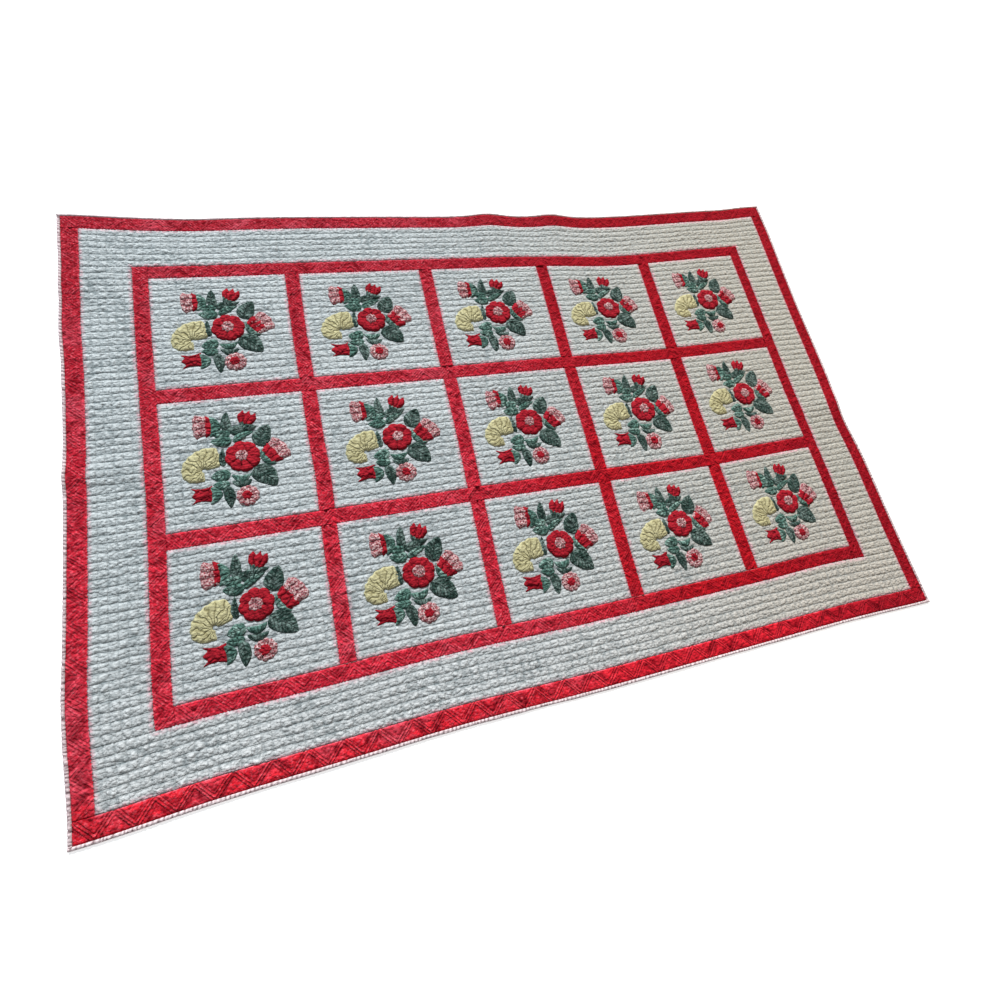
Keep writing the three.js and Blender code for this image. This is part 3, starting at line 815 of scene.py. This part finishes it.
def cotton(name, lump, quilting=None, thread_colour=None, pattern=None, sheen=0.06, lit=PLAIN_HIGHLIGHT):
    """Woven cotton, with quilting or a print on it. Lump is the height of its lumps in mm and the last
    argument the tint of the painted highlights on its gathers."""
    face, shade = COLOURS[name]
    material = bpy.data.materials.new(name)
    material.use_nodes = True
    tree = material.node_tree
    tree.nodes.clear()
    place = value(tree, "TexCoord", output="Object")
    base = (*face, 1)
    for row in WEAR:
        worn = [row["tint"] * channel for channel in face]
        base = layered(base, (patches(place, row["kind"]), row["share"], worn))
    if pattern:
        base = pattern(place, base)
    creases = grain(place, FINE_CREASE_RATE, 2, FINE_CREASE_TWIST)
    from_top = lump_distance(place)
    height = weave(place) + (creases - 0.5) * FINE_CREASE - from_top.calc("POWER", 2) * (2 * lump)
    # Painted shade: the share kept at the points and a painted shade on the edges of the small lumps
    dark = shade_and_fray_of(tree) | ramp(from_top, *LUMP_EDGE) * (LUMP_SHADE * lump)
    if quilting:
        lines, thread, gathers = quilting(tree)
        height = height - lines * LINE_DEPTH + (gathers - 0.5) * GATHER_DEPTH
        # Painted shade in the quilting lines
        dark = dark | lines * LINE_SHADE
        # Painted highlights on the tops of the gathers
        base = tinted(ramp(gathers, *GATHER_TOPS) * GATHER_HIGHLIGHT, base, lit)
        base = layered(base, (dark, 1, shade), (thread, THREAD_SHOWN, thread_colour or face))
    else:
        base = layered(base, (dark, 1, shade))
    inputs = {
        "Base Color": base,
        "Roughness": 0.92,
        "Specular IOR Level": 0.06,
        "Sheen Weight": sheen,
        "Sheen Roughness": 0.5,
        "Normal": value(tree, "Bump", {"Height": height, "Strength": 1, "Distance": MM}),
    }
    node(tree, "OutputMaterial", {"Surface": value(tree, "BsdfPrincipled", inputs)})
    return material


WHITE = cotton("white_cotton", 1.2, grid_quilting, WHITE_THREAD, white_stains_and_light)
# The red cotton's last values are the pink tint of its painted highlights
RED = cotton("red_cotton", 1.2, zigzag_quilting, RED_THREAD, red_wear_and_light, 0, (1.35, 3.1, 2.5))
PALE = cotton("binding_cotton", 0.8)


def applique(name, lump=1.3, **looks):
    """Cotton of the sewn-on pieces, with thread of its own colour."""
    return cotton(name, lump, piece_quilting, **looks)


# Slot and material of each sewn-on cloth
CLOTHS = {
    # Each cloth's highlight tint is that of the painted highlights on its gathers
    "red": ("red_cotton", applique("red_applique", 1.5, sheen=0, lit=(2.1, 4.4, 3.6))),
    "green": ("green_cotton", applique("green_cotton", pattern=green_with_painted_folds, lit=GREEN_HIGHLIGHT)),
    "green_print": ("green_print", applique("green_print", pattern=leaf_print, lit=GREEN_HIGHLIGHT)),
    "yellow": ("yellow_cotton", applique("yellow_cotton", 1, lit=(1.6, 1.6, 1.7))),
    "rose_print": ("rose_print", applique("rose_print", pattern=rose_print)),
}


# White cloth quilted in cells


def crease_noise(x, y, slant, seed):
    """Unevenness drawn out slantwise. Its creases lie where it is 0."""
    return uneven("creases", x + slant * y, y - slant * x, seed)


def crease_lines(x, y, slant, seed):
    """Slantwise creases: 1.3 along each of them, down to about -1.3 between them."""
    return 1.3 - 2.6 * np.abs(crease_noise(x, y, slant, seed))


def panel_creases(x, y):
    """Creases of the white cloth, which turn from one slant to the other along the quilt."""
    one_way = np.clip(0.5 - x / CREASE_TURN + 0.35 * uneven("crease_way", x, y), 0, 1)
    creases = one_way * crease_lines(x, y, CREASE_SLANT, CREASE_SEEDS[0])
    creases += (1 - one_way) * crease_lines(x, y, -CREASE_SLANT, CREASE_SEEDS[1])
    return creases * (-0.75 - 0.35 * uneven("crease_depth", x, y))


def white_panel(name, box, tucked=None):
    """Quilted white cloth over a ruled rectangle. Tucked gives how far it is held down under a spray."""
    x0, x1, y0, y1 = box
    columns = round((x1 - x0) / CELL_LONG)
    rows = round((y1 - y0) / CELL_WIDE)
    marks = np.linspace(0, columns, columns * CELL_STEPS + 1)
    u, v = crossed(marks, np.linspace(0, rows, rows * CELL_STEPS + 1))
    x = x0 + GAP / 2 + u / columns * (x1 - x0 - GAP)
    y = y0 + GAP / 2 + v / rows * (y1 - y0 - GAP)
    from_side = np.minimum(x - x0, x1 - x)
    from_end = np.minimum(y - y0, y1 - y)
    from_edge = np.minimum(from_side, from_end)
    across = 1 - np.abs(2 * (v % 1) - 1) ** ROW_FULLNESS
    along = 1 - np.abs(2 * (u % 1) - 1) ** COLUMN_FULLNESS
    dimple = COLUMN_DEPTH * (0.7 + 0.5 * uneven("dimple", x, y)) * (1 - along)
    plump = 1 + PUFF_SPREAD * uneven("plump", x, y)
    puff = PUFF * plump * across * (1 - dimple) * (1 - 0.5 * np.exp(-from_side / SIDE_ROUND))
    lively = 1 - CALM_END * np.clip((x + CALM_LEAN * y) / EDGE_X["edge"], 0, 1)
    creases = lively * panel_creases(x, y)
    height = puff + CREASE * creases * np.sqrt(across) * np.clip(from_side / SIDE_CALM, 0, 1)
    # Painted shade in the row lines, beside the dimples and in the creases
    shade_and_fray = 0.5 * (1 - across) ** 2 + 0.35 * dimple * across + 0.6 * np.clip(-creases - 0.1, 0, 1)
    shade_and_fray *= lively
    if tucked:
        held = tucked(x, y)
        height *= 1 - TUCK_DEPTH * held
        # Painted shade where the cloth is held down round a spray
        shade_and_fray = np.maximum(shade_and_fray, TUCK_SHADE * held)
    # Every other point along an edge is drawn out over the red cloth
    every_other_x, every_other_y = np.indices(x.shape) % 2
    side_reach = np.exp(-from_side / TOOTH_REACH)
    teeth_x = TOOTH * every_other_y * (0.7 + 0.4 * uneven("side_teeth", x, y)) * side_reach
    teeth_y = every_other_x * (0.7 + 0.4 * uneven("end_teeth", x, y)) * np.exp(-from_end / TOOTH_REACH)
    teeth_y *= 0.9 * TOOTH
    # Painted shade in the gaps between the teeth along the sides
    shade_and_fray = np.maximum(shade_and_fray, 0.6 * (1 - every_other_y) * side_reach)
    inside = np.clip(from_edge / CELL_WIDE, 0, 1)
    wander_x = LINE_WANDER * uneven("column_wander", x, y)
    wander_y = LINE_WANDER * (uneven("row_wander", x, y) + FINE_WANDER * uneven("fine_wander", x, y))
    shifted_x = x + inside * wander_x + np.where(x - x0 < x1 - x, -teeth_x, teeth_x)
    shifted_y = y + inside * wander_y + np.where(y - y0 < y1 - y, -teeth_y, teeth_y)
    z = SEAM + np.maximum(height, 0) + lift(x, y)
    cloth = Cloth()
    top = cloth.add(shifted_x, shifted_y, z, np.clip(shade_and_fray, 0, 1), (u, v, from_red(x, y, from_edge)))
    cloth.grid(top)
    cloth.close(rim(top), rim(shifted_x), rim(shifted_y), 0)
    cloth.finish(f"{name}_cloth", [name], WHITE)


# Red cloth quilted in zigzag lines


def along_x(u, v):
    return u, v


def along_y(u, v):
    return -v, u


def red_strip(name, look, way, u0, u1, v0, v1):
    """Quilted red strip: u runs along it and v across it, in ruled places."""
    lines, sharp, crumple = STRIP_LOOKS[look]
    wide = v1 - v0
    run = np.linspace(u0 + GAP / 2, u1 - GAP / 2, round((u1 - u0) / STRIP_STEP))
    u, v = crossed(run, np.linspace(v0 + GAP / 2, v1 - GAP / 2, STRIP_CELLS + 1))
    x, y = way(u, v)
    period = (u1 - u0) / max(1, round((u1 - u0) / ZIGZAG_PERIOD))
    phase = (u - u0) / period + ZIGZAG_DRIFT * uneven("zigzag_drift", u, v)
    zigzag = v0 + wide * np.abs(2 * (phase % 1) - 1)
    lean = np.cos(np.arctan2(2 * wide, period))
    wander = noise(u / ZIGZAG_WANDER_LENGTH, v / ZIGZAG_WANDER_LENGTH + v0, ZIGZAG_SEED)
    offset = (v - zigzag) * lean / ZIGZAG_LINES + ZIGZAG_WANDER * wander
    from_line = np.abs(offset - np.round(np.clip(offset, -lines, lines))) * ZIGZAG_LINES
    seam = from_white(x, y)
    edge = np.minimum(seam, within(x, y, "band"))
    plump = 1 + PUFF_SPREAD * uneven("zigzag_puff", x, y)
    puff = ZIGZAG_PUFF * (1 - np.exp(-from_line / SIDE_ROUND)) * plump
    streaks = noise(u / STREAK_LENGTH, offset * ZIGZAG_LINES / STREAK_PITCH + v0, STREAK_SEED)
    crumples = 1 - 2.2 * np.abs(uneven("crumples", u + CRUMPLE_LEAN * v, v))
    height = ZIGZAG_BASE + (0.4 + 0.6 * sharp) * puff + STREAK * streaks - crumple * crumples
    height *= 1 - 0.85 * np.exp(-edge / SIDE_ROUND)
    dips = np.clip(-streaks, 0, 1) + np.clip(crumples - 0.2, 0, 1)
    # Painted shade beside the zigzag lines and in the dips; lowered below 0 where the edge beside the white
    # cloth is frayed
    shade_and_fray = np.clip(0.6 * sharp * np.exp(-from_line / ZIGZAG_LINE) + 0.65 * dips, 0, 1)
    shade_and_fray -= (1.1 + 0.9 * uneven("fraying", u, v)) * np.exp(-seam / FRAY_REACH)
    z = SEAM + np.maximum(height, 0) + lift(x, y)
    cloth = Cloth()
    top = cloth.add(x, y, z, np.clip(shade_and_fray, -1, 1), (u, offset, lines + sharp))
    cloth.grid(top)
    cloth.close(rim(top), rim(x), rim(y), 0)
    cloth.finish(f"{name}_cloth", [name], RED)


# Rolled binding


def back_along_x(u, v):
    return -u, -v


def back_along_y(u, v):
    return v, -u


def binding_strip(name, way, half, inner, gathered):
    """Binding along one edge, with its outer side towards lower v, gathered more or less."""
    run = np.linspace(GAP / 2 - half, half - GAP / 2, round(2 * half / ROLL_STEP))
    u, share = crossed(run, ROLL_SHARES)
    height = np.broadcast_to(ROLL_HEIGHTS, u.shape)
    phase = u / ROLL_PUCKER_PITCH + ROLL_PUCKER_SLANT * share + 0.6 * uneven("roll_gathers", u, inner)
    wave = np.sqrt(np.abs(np.sin(np.pi * phase)))
    rounded = np.clip(height / ROLL_ROUND, 0, 1)
    pinch = ROLL_PUCKER * gathered * (wave - 0.75) * rounded
    out = share * (BINDING - GAP / 2) * (1 + 0.08 * uneven("roll_width", u, 0.2))
    x, y = way(u, inner - GAP / 2 - out - 0.8 * pinch * share**2)
    z = height + np.where(height > 0, pinch + lift(x, y) * rounded, 0)
    cloth = Cloth()
    # Painted shade in the gaps between the puckers
    section = cloth.add(x, y, z, np.clip((1 - wave) * 1.7 * gathered, 0, 1))
    cloth.grid(section[:, ::-1], wrap=True)
    cloth.add_faces([section[0].tolist(), section[-1, ::-1].tolist()], False)
    cloth.finish(f"{name}_cloth", [name], PALE)


# Sewn-on sprays


def turned(piece, along, across):
    """Places of a piece's own directions in its spray."""
    turn = np.radians(piece["turn"])
    x = piece["x"] + along * np.cos(turn) - across * np.sin(turn)
    y = piece["y"] + along * np.sin(turn) + across * np.cos(turn)
    return x, y


def steps_over(length):
    return max(5, round(length / PIECE_STEP))


def unit_grid(piece):
    """Shares along a piece from 0 to 1 and across it from -1 to 1."""
    t = np.linspace(0, 1, steps_over(piece["long"]) + 1)
    return crossed(t, np.linspace(-1, 1, 2 * (steps_over(piece["wide"]) // 2) + 1))


def leaf(piece):
    """A leaf, round at its base and pointed at its tip."""
    t, s = unit_grid(piece)
    half = piece["wide"] / 2 * np.maximum(0.02, 2.21 * t**0.45 * (1 - t) ** 0.75)
    bend = 0.05 * piece["long"] * np.sin(np.pi * t)
    rib = np.abs(s) * half
    veins = (piece["long"] * t - 0.75 * rib) / VEIN_PITCH
    return turned(piece, piece["long"] * t, s * half + bend), veins, rib


def cup(t, s):
    """A bowl with a slightly dished top: shares of its half width and its length, and veins to a side."""
    half = 0.2 + 0.8 * np.sin(np.pi / 2 * t) ** 0.7
    return half, t * (0.84 + 0.16 * np.abs(s) ** 1.6), 2.2


def fan(t, s):
    """A flower that opens to a row of short points."""
    half = 0.32 + 0.68 * np.sin(np.pi / 2 * t) ** 0.8
    points = 1 - np.abs((1.5 * s) % 1 - 0.5) * 2
    return half, t * (0.72 + 0.28 * (1 - points) ** 1.2) * (1 - 0.14 * np.abs(s) ** 3), 1.5


def star(t, s):
    """A flower drawn in at its waist, with three points at its end."""
    half = 1 - 0.24 * np.sin(np.pi * t)
    return half, t * (0.8 + 0.2 * np.abs(np.cos(np.pi * s)) ** 1.5), 0.8


def tulip(t, s):
    """A flower that is wider towards its end, with short points there."""
    points = 0.94 + 0.06 * np.abs(np.cos(1.5 * np.pi * s))
    return 0.86 + 0.28 * t**2, t * points * (1 - 0.2 * np.abs(s) ** 2.5), 1.5


SIDE_VIEWS = {shape.__name__: shape for shape in (cup, fan, star, tulip)}


def side_view(piece):
    """A cup or a flower seen from the side."""
    t, s = unit_grid(piece)
    half, along, veins = SIDE_VIEWS[piece["kind"]](t, s)
    return turned(piece, piece["long"] * along, piece["wide"] / 2 * half * s), veins * s + 0.5, NO_RIB


def shell(piece):
    """A half flower gathered round its notch."""
    t, s = unit_grid(piece)
    turn = np.radians(SHELL["first"] + (SHELL["last"] - SHELL["first"]) * t)
    reach = smooth(t, np.linspace(0, 1, len(SHELL_REACH)), SHELL_REACH)
    scallop = 1 - 0.04 * np.abs(np.cos(np.pi * SHELL["rays"] * t)) ** 3
    r = SHELL["notch"] + (reach * scallop - SHELL["notch"]) * (1 - s) / 2
    gathers = SHELL["rays"] * t + 0.5 + SHELL_DRIFT * uneven("shell_drift", t, s)
    return (piece["x"] + r * np.cos(turn), piece["y"] + r * np.sin(turn)), gathers, NO_RIB


def smooth(at, knots, values):
    """Natural-looking curve through values at even knots."""
    values = np.asarray(values, float)
    slopes = np.gradient(values, knots)
    i = np.clip(np.searchsorted(knots, at) - 1, 0, len(knots) - 2)
    span = knots[1] - knots[0]
    t = (at - knots[i]) / span
    start = (1 + 2 * t) * (1 - t) ** 2 * values[i] + t * (1 - t) ** 2 * span * slopes[i]
    return start + t**2 * (3 - 2 * t) * values[i + 1] + t**2 * (t - 1) * span * slopes[i + 1]


def flower(piece):
    """A round flower with petals round its rim."""
    radius = piece["long"]
    petals = piece["wide"]
    rings = np.linspace(0.08, 1, max(4, round(radius / PIECE_STEP)))
    round_steps = 2 * petals * max(2, round(np.pi * radius / petals / PIECE_STEP))
    r, turn = crossed(rings, np.linspace(0, 2 * np.pi, round_steps, endpoint=False))
    petal = np.abs(np.cos(petals * turn / 2))
    reach = radius * r * (1 - 0.1 * r**2 * (1 - petal**0.55))
    between = np.abs((petals * turn / (2 * np.pi)) % 1 - 0.5)
    arc = 2 * np.pi * radius * r / petals
    veins = np.minimum(between * arc / VEIN_PITCH, 0.5)
    return turned(piece, reach * np.cos(turn), reach * np.sin(turn)), veins, NO_RIB


SHAPES = {"leaf": leaf, "flower": flower, "shell": shell, **dict.fromkeys(SIDE_VIEWS, side_view)}
YELLOW = {"cloth": "yellow", "kind": "shell", "turn": 0, "long": 170, "wide": 50, "layer": 1, **SHELL}
PIECES = [YELLOW, *SPRAY]


def loop_of(kind, grid):
    """The values round the rim of a piece's grid."""
    return grid[-1] if kind == "flower" else rim(grid)


def outline_of(kind, x, y):
    return np.stack([loop_of(kind, x), loop_of(kind, y)], -1)


def from_rim(outline, x, y):
    """Distance from each place to an outline, and whether the place is inside it."""
    nearest = np.full(x.shape, np.inf)
    inside = np.zeros(x.shape, bool)
    for a, b in zip(outline, np.roll(outline, -1, 0)):
        side = b - a
        t = np.clip(((x - a[0]) * side[0] + (y - a[1]) * side[1]) / max(side @ side, 1e-9), 0, 1)
        nearest = np.minimum(nearest, np.hypot(x - a[0] - t * side[0], y - a[1] - t * side[1]))
        crosses = (a[1] > y) != (b[1] > y)
        if side[1] != 0:
            inside ^= crosses & (x < a[0] + (y - a[1]) * side[0] / side[1])
    return nearest, inside


def tucked_field():
    """How far the cloth is held down round and under a spray, from 0 to 1."""
    marks = np.arange(-FIELD_REACH, FIELD_REACH + FIELD_STEP, FIELD_STEP)
    x, y = crossed(marks, marks)
    held = np.zeros(x.shape)
    for piece in PIECES:
        (px, py), _, _ = SHAPES[piece["kind"]](piece)
        away, inside = from_rim(outline_of(piece["kind"], px, py), x, y)
        held = np.maximum(held, np.where(inside, 1, np.exp(-away / TUCK_REACH)))
    return held


TUCKED = tucked_field()


class Spray:
    """Where one spray is set on its block."""

    def __init__(self, row, column, box):
        self.place = f"r{row + 1}c{column + 1}"
        self.seed = SPRAY_SEED["start"] + SPRAY_SEED["per_row"] * row + SPRAY_SEED["per_column"] * column
        self.x = (box[0] + box[1]) / 2 + SET[row]["x"][column]
        self.y = (box[2] + box[3]) / 2 + SET[row]["y"][column]
        wave = np.sin(TURN["per_row"] * row + TURN["per_column"] * column + TURN["start"])
        turn = np.radians(TURN["most"] * wave)
        self.cos = np.cos(turn)
        self.sin = np.sin(turn)

    def ruled(self, x, y):
        """Places of the spray in the ruled quilt."""
        return self.x + x * self.cos - y * self.sin, self.y + x * self.sin + y * self.cos

    def tucked(self, x, y):
        """How far the block's cloth is held down at ruled places."""
        own_x = (x - self.x) * self.cos + (y - self.y) * self.sin
        own_y = (y - self.y) * self.cos - (x - self.x) * self.sin
        last = len(TUCKED) - 1.001
        i = np.clip((own_x + FIELD_REACH) / FIELD_STEP, 0, last)
        j = np.clip((own_y + FIELD_REACH) / FIELD_STEP, 0, last)
        a = i.astype(int)
        b = j.astype(int)
        i = i - a
        j = j - b
        near = TUCKED[a, b] * (1 - i) + TUCKED[a + 1, b] * i
        far = TUCKED[a, b + 1] * (1 - i) + TUCKED[a + 1, b + 1] * i
        return near * (1 - j) + far * j

    def varied(self, piece, number):
        """The piece as it was cut and set by hand for this spray."""

        def vary(share, k):
            return share * (2 * hashed(number, k, self.seed) - 1)

        changed = dict(piece)
        changed["turn"] += vary(VARY["turn"], 1)
        changed["long"] *= 1 + vary(VARY["long"], 2)
        changed["x"] += vary(VARY["place"], 3)
        changed["y"] += vary(VARY["place"], 4)
        return changed

    def add_piece(self, cloth, piece):
        kind = piece["kind"]
        petals = kind == "flower"
        calm = kind == "shell"
        (x, y), veins, rib = SHAPES[kind](piece)
        x = x + CUT_WANDER * uneven("cut_x", x, y, self.seed)
        y = y + CUT_WANDER * uneven("cut_y", x, y, self.seed)
        away, _ = from_rim(outline_of(kind, x, y), x, y)
        ruled_x, ruled_y = self.ruled(x, y)
        full = PIECE_RISE + LAYER_RISE * piece["layer"]
        perch = full - PERCHED_RISE if piece["layer"] >= PERCHED_LAYER else 0
        rise = perch + (full - perch) * (1 - np.exp(-away / PIECE_ROUND))
        drift = uneven("vein_drift", x, y, self.seed)
        if petals:
            veins = np.minimum(veins + PETAL_VEIN + PETAL_WANDER * drift, 0.5)
        else:
            veins = veins + (CALM_WANDER if calm else 1) * VEIN_WANDER * drift
        pillows = np.abs(np.sin(np.pi * veins)) ** 0.7
        ridge = np.exp(-((rib / RIB_WIDTH) ** 2))
        lumps = np.abs(crease_noise(ruled_x, ruled_y, CREASE_SLANT, self.seed))
        creased = np.exp(-lumps / LUMP_CREASE)
        relief = VEIN_DEPTH * (pillows - 0.6) - RIB_DEPTH * ridge - LUMP * (creased - 0.3)
        shown = (CALM_SHELL if calm else 1) * (1 - np.exp(-away / RIM_CALM))
        z = SEAM + PIECE_EDGE + rise + relief * shown + lift(ruled_x, ruled_y)
        # Painted shade in the vein lines and the creases, and on all but the half flower along the rim
        shade_and_fray = shown * (0.65 * (1 - pillows) ** 2 + 0.9 * creased)
        if not calm:
            shade_and_fray += RIM_SHADE * np.exp(-away / RIM_SHADE_REACH)
        top = cloth.add(ruled_x, ruled_y, z, np.clip(shade_and_fray, 0, 1), (veins, away, rib))
        cloth.grid(top, wrap=petals)
        if petals:
            cloth.add_faces([top[0].tolist()])
        foot = SEAM + PIECE_FOOT + lift(self.x, self.y)
        cloth.close(loop_of(kind, top), loop_of(kind, ruled_x), loop_of(kind, ruled_y), foot)

    def make(self):
        for name, (slot, material) in CLOTHS.items():
            cloth = Cloth()
            for number, piece in enumerate(PIECES):
                if piece["cloth"] == name:
                    self.add_piece(cloth, self.varied(piece, number))
            own_name = f"applique_{name}_{self.place}"
            nodes = [f"spray_{self.place}"]
            cloth.finish(own_name, nodes, material)


# The whole quilt


def block_box(row, column):
    x0 = (BLOCK_WIDTH + SASH) * (column - COLUMNS / 2) + SASH / 2
    y1 = (BLOCK_HEIGHT + SASH) * (ROWS / 2 - row) - SASH / 2
    return x0, x0 + BLOCK_WIDTH, y1 - BLOCK_HEIGHT, y1


def add_blocks():
    for row in range(ROWS):
        for column in range(COLUMNS):
            box = block_box(row, column)
            spray = Spray(row, column, box)
            white_panel(f"block_{spray.place}", box, spray.tucked)
            spray.make()


def add_sashing():
    inside = EDGE_X["inside"]
    high = EDGE_Y["sash"]
    for row in range(ROWS + 1):
        y0 = (BLOCK_HEIGHT + SASH) * (ROWS / 2 - row) - SASH / 2
        red_strip(f"sash_row_{row + 1}", "sash_row", along_x, -inside, inside, y0, y0 + SASH)
    for side, x0 in (("left", -EDGE_X["sash"]), ("right", inside)):
        red_strip(f"sash_end_{side}", "sash_upright", along_y, -high, high, -x0 - SASH, -x0)
    for row in range(ROWS):
        for column in range(COLUMNS - 1):
            _, x1, y0, y1 = block_box(row, column)
            red_strip(f"sash_post_r{row + 1}c{column + 1}", "sash_upright", along_y, y0, y1, -x1 - SASH, -x1)


def add_border():
    out_x, in_x = EDGE_X["border"], EDGE_X["sash"]
    out_y, in_y = EDGE_Y["border"], EDGE_Y["sash"]
    boxes = {
        "border_top": (-out_x, out_x, in_y, out_y),
        "border_bottom": (-out_x, out_x, -out_y, -in_y),
        "border_left": (-out_x, -in_x, -in_y, in_y),
        "border_right": (in_x, out_x, -in_y, in_y),
    }
    for name, box in boxes.items():
        white_panel(name, box)


def add_bands():
    border_x, band_x = EDGE_X["border"], EDGE_X["band"]
    border_y, band_y = EDGE_Y["border"], EDGE_Y["band"]
    places = {
        "band_top": (along_x, -band_x, band_x, border_y, band_y),
        "band_bottom": (along_x, -band_x, band_x, -band_y, -border_y),
        "band_left": (along_y, -border_y, border_y, border_x, band_x),
        "band_right": (along_y, -border_y, border_y, -band_x, -border_x),
    }
    for name, place in places.items():
        red_strip(name, name, *place)


def add_bindings():
    edges = {
        "bottom": (along_x, EDGE_X["edge"], -EDGE_Y["band"]),
        "top": (back_along_x, EDGE_X["edge"], -EDGE_Y["band"]),
        "right": (along_y, EDGE_Y["band"], -EDGE_X["band"]),
        "left": (back_along_y, EDGE_Y["band"], -EDGE_X["band"]),
    }
    for side, edge in edges.items():
        binding_strip(f"binding_{side}", *edge, ROLL_GATHERED[side])


# Floor, light and camera

# The floor's half width and the lights' places and sizes are in metres, the camera's places in mm
FLOOR_HALF = 12
FLOOR_LOOK = {
    "Base Color": (0.9, 0.9, 0.9, 1),
    "Emission Color": (1, 1, 1, 1),
    "Emission Strength": 0.6,
    "Roughness": 0.9,
}
SKY_LOOK = {"Color": (0.97, 0.99, 1, 1), "Strength": 0.2}
LIGHTS = table(
    "name place target size watts colour spread",
    ("window", (-0.6, 13.5, 9), (0, 0, 0), (5.1, 3), 4160, (0.97, 1, 1.02), 180),
    ("cool_side", (-1.9, 0.9, 2), (-1, 0.35, 0), (1.4, 1.4), 1.9, (0.36, 0.76, 1), 100),
    ("warm_side", (1.9, 0.3, 2), (1.1, 0.1, 0), (1.4, 1.4), 2.5, (1, 0.6, 0.2), 100),
)
CAMERA_PLACE = Vector((-508.4, -582.3, 1329.3))
CAMERA_TARGET = Vector((-131.3, -223.8, 0))
CAMERA_ROLL = 35.11
CAMERA_LENS = 18.153
CAMERA_SENSOR = 36
CAMERA_NEAR = 0.05


def aimed(place, target):
    """Turn of a light or a camera at place that looks at target."""
    return (Vector(target) - Vector(place)).to_track_quat("-Z", "Y")


def set_inputs(made, look):
    for name, given in look.items():
        made.inputs[name].default_value = given


def add_floor():
    mesh = bpy.data.meshes.new("floor")
    far = FLOOR_HALF
    mesh.from_pydata([(-far, -far, 0), (far, -far, 0), (far, far, 0), (-far, far, 0)], [], [(0, 1, 2, 3)])
    material = bpy.data.materials.new("floor")
    material.use_nodes = True
    set_inputs(material.node_tree.nodes["Principled BSDF"], FLOOR_LOOK)
    mesh.materials.append(material)
    placed("floor", mesh)


def add_light(name, place, target, size, watts, colour, spread):
    light = bpy.data.lights.new(name, "AREA")
    light.shape = "RECTANGLE"
    light.size, light.size_y = size
    light.energy = watts
    light.spread = np.radians(spread)
    light.color = colour
    lamp = placed(name, light)
    lamp.location = place
    lamp.visible_camera = False
    lamp.rotation_mode = "QUATERNION"
    lamp.rotation_quaternion = aimed(place, target)


def add_lights():
    for light in LIGHTS:
        add_light(**light)
    world = bpy.data.worlds.new("studio")
    world.use_nodes = True
    set_inputs(world.node_tree.nodes["Background"], SKY_LOOK)
    bpy.context.scene.world = world


def add_camera():
    camera = bpy.data.cameras.new("camera")
    camera.lens = CAMERA_LENS
    camera.sensor_width = CAMERA_SENSOR
    camera.clip_start = CAMERA_NEAR
    seen = placed("camera", camera)
    place = Matrix.Translation((CAMERA_PLACE + SHIFT.to_3d()) * MM)
    ahead = aimed(CAMERA_PLACE, CAMERA_TARGET).to_matrix().to_4x4()
    seen.matrix_world = place @ ahead @ Matrix.Rotation(np.radians(CAMERA_ROLL), 4, "Z")
    bpy.context.scene.camera = seen


add_blocks()
add_sashing()
add_border()
add_bands()
add_bindings()
add_floor()
add_lights()
add_camera()
bpy.context.scene.view_settings.view_transform = "Standard"
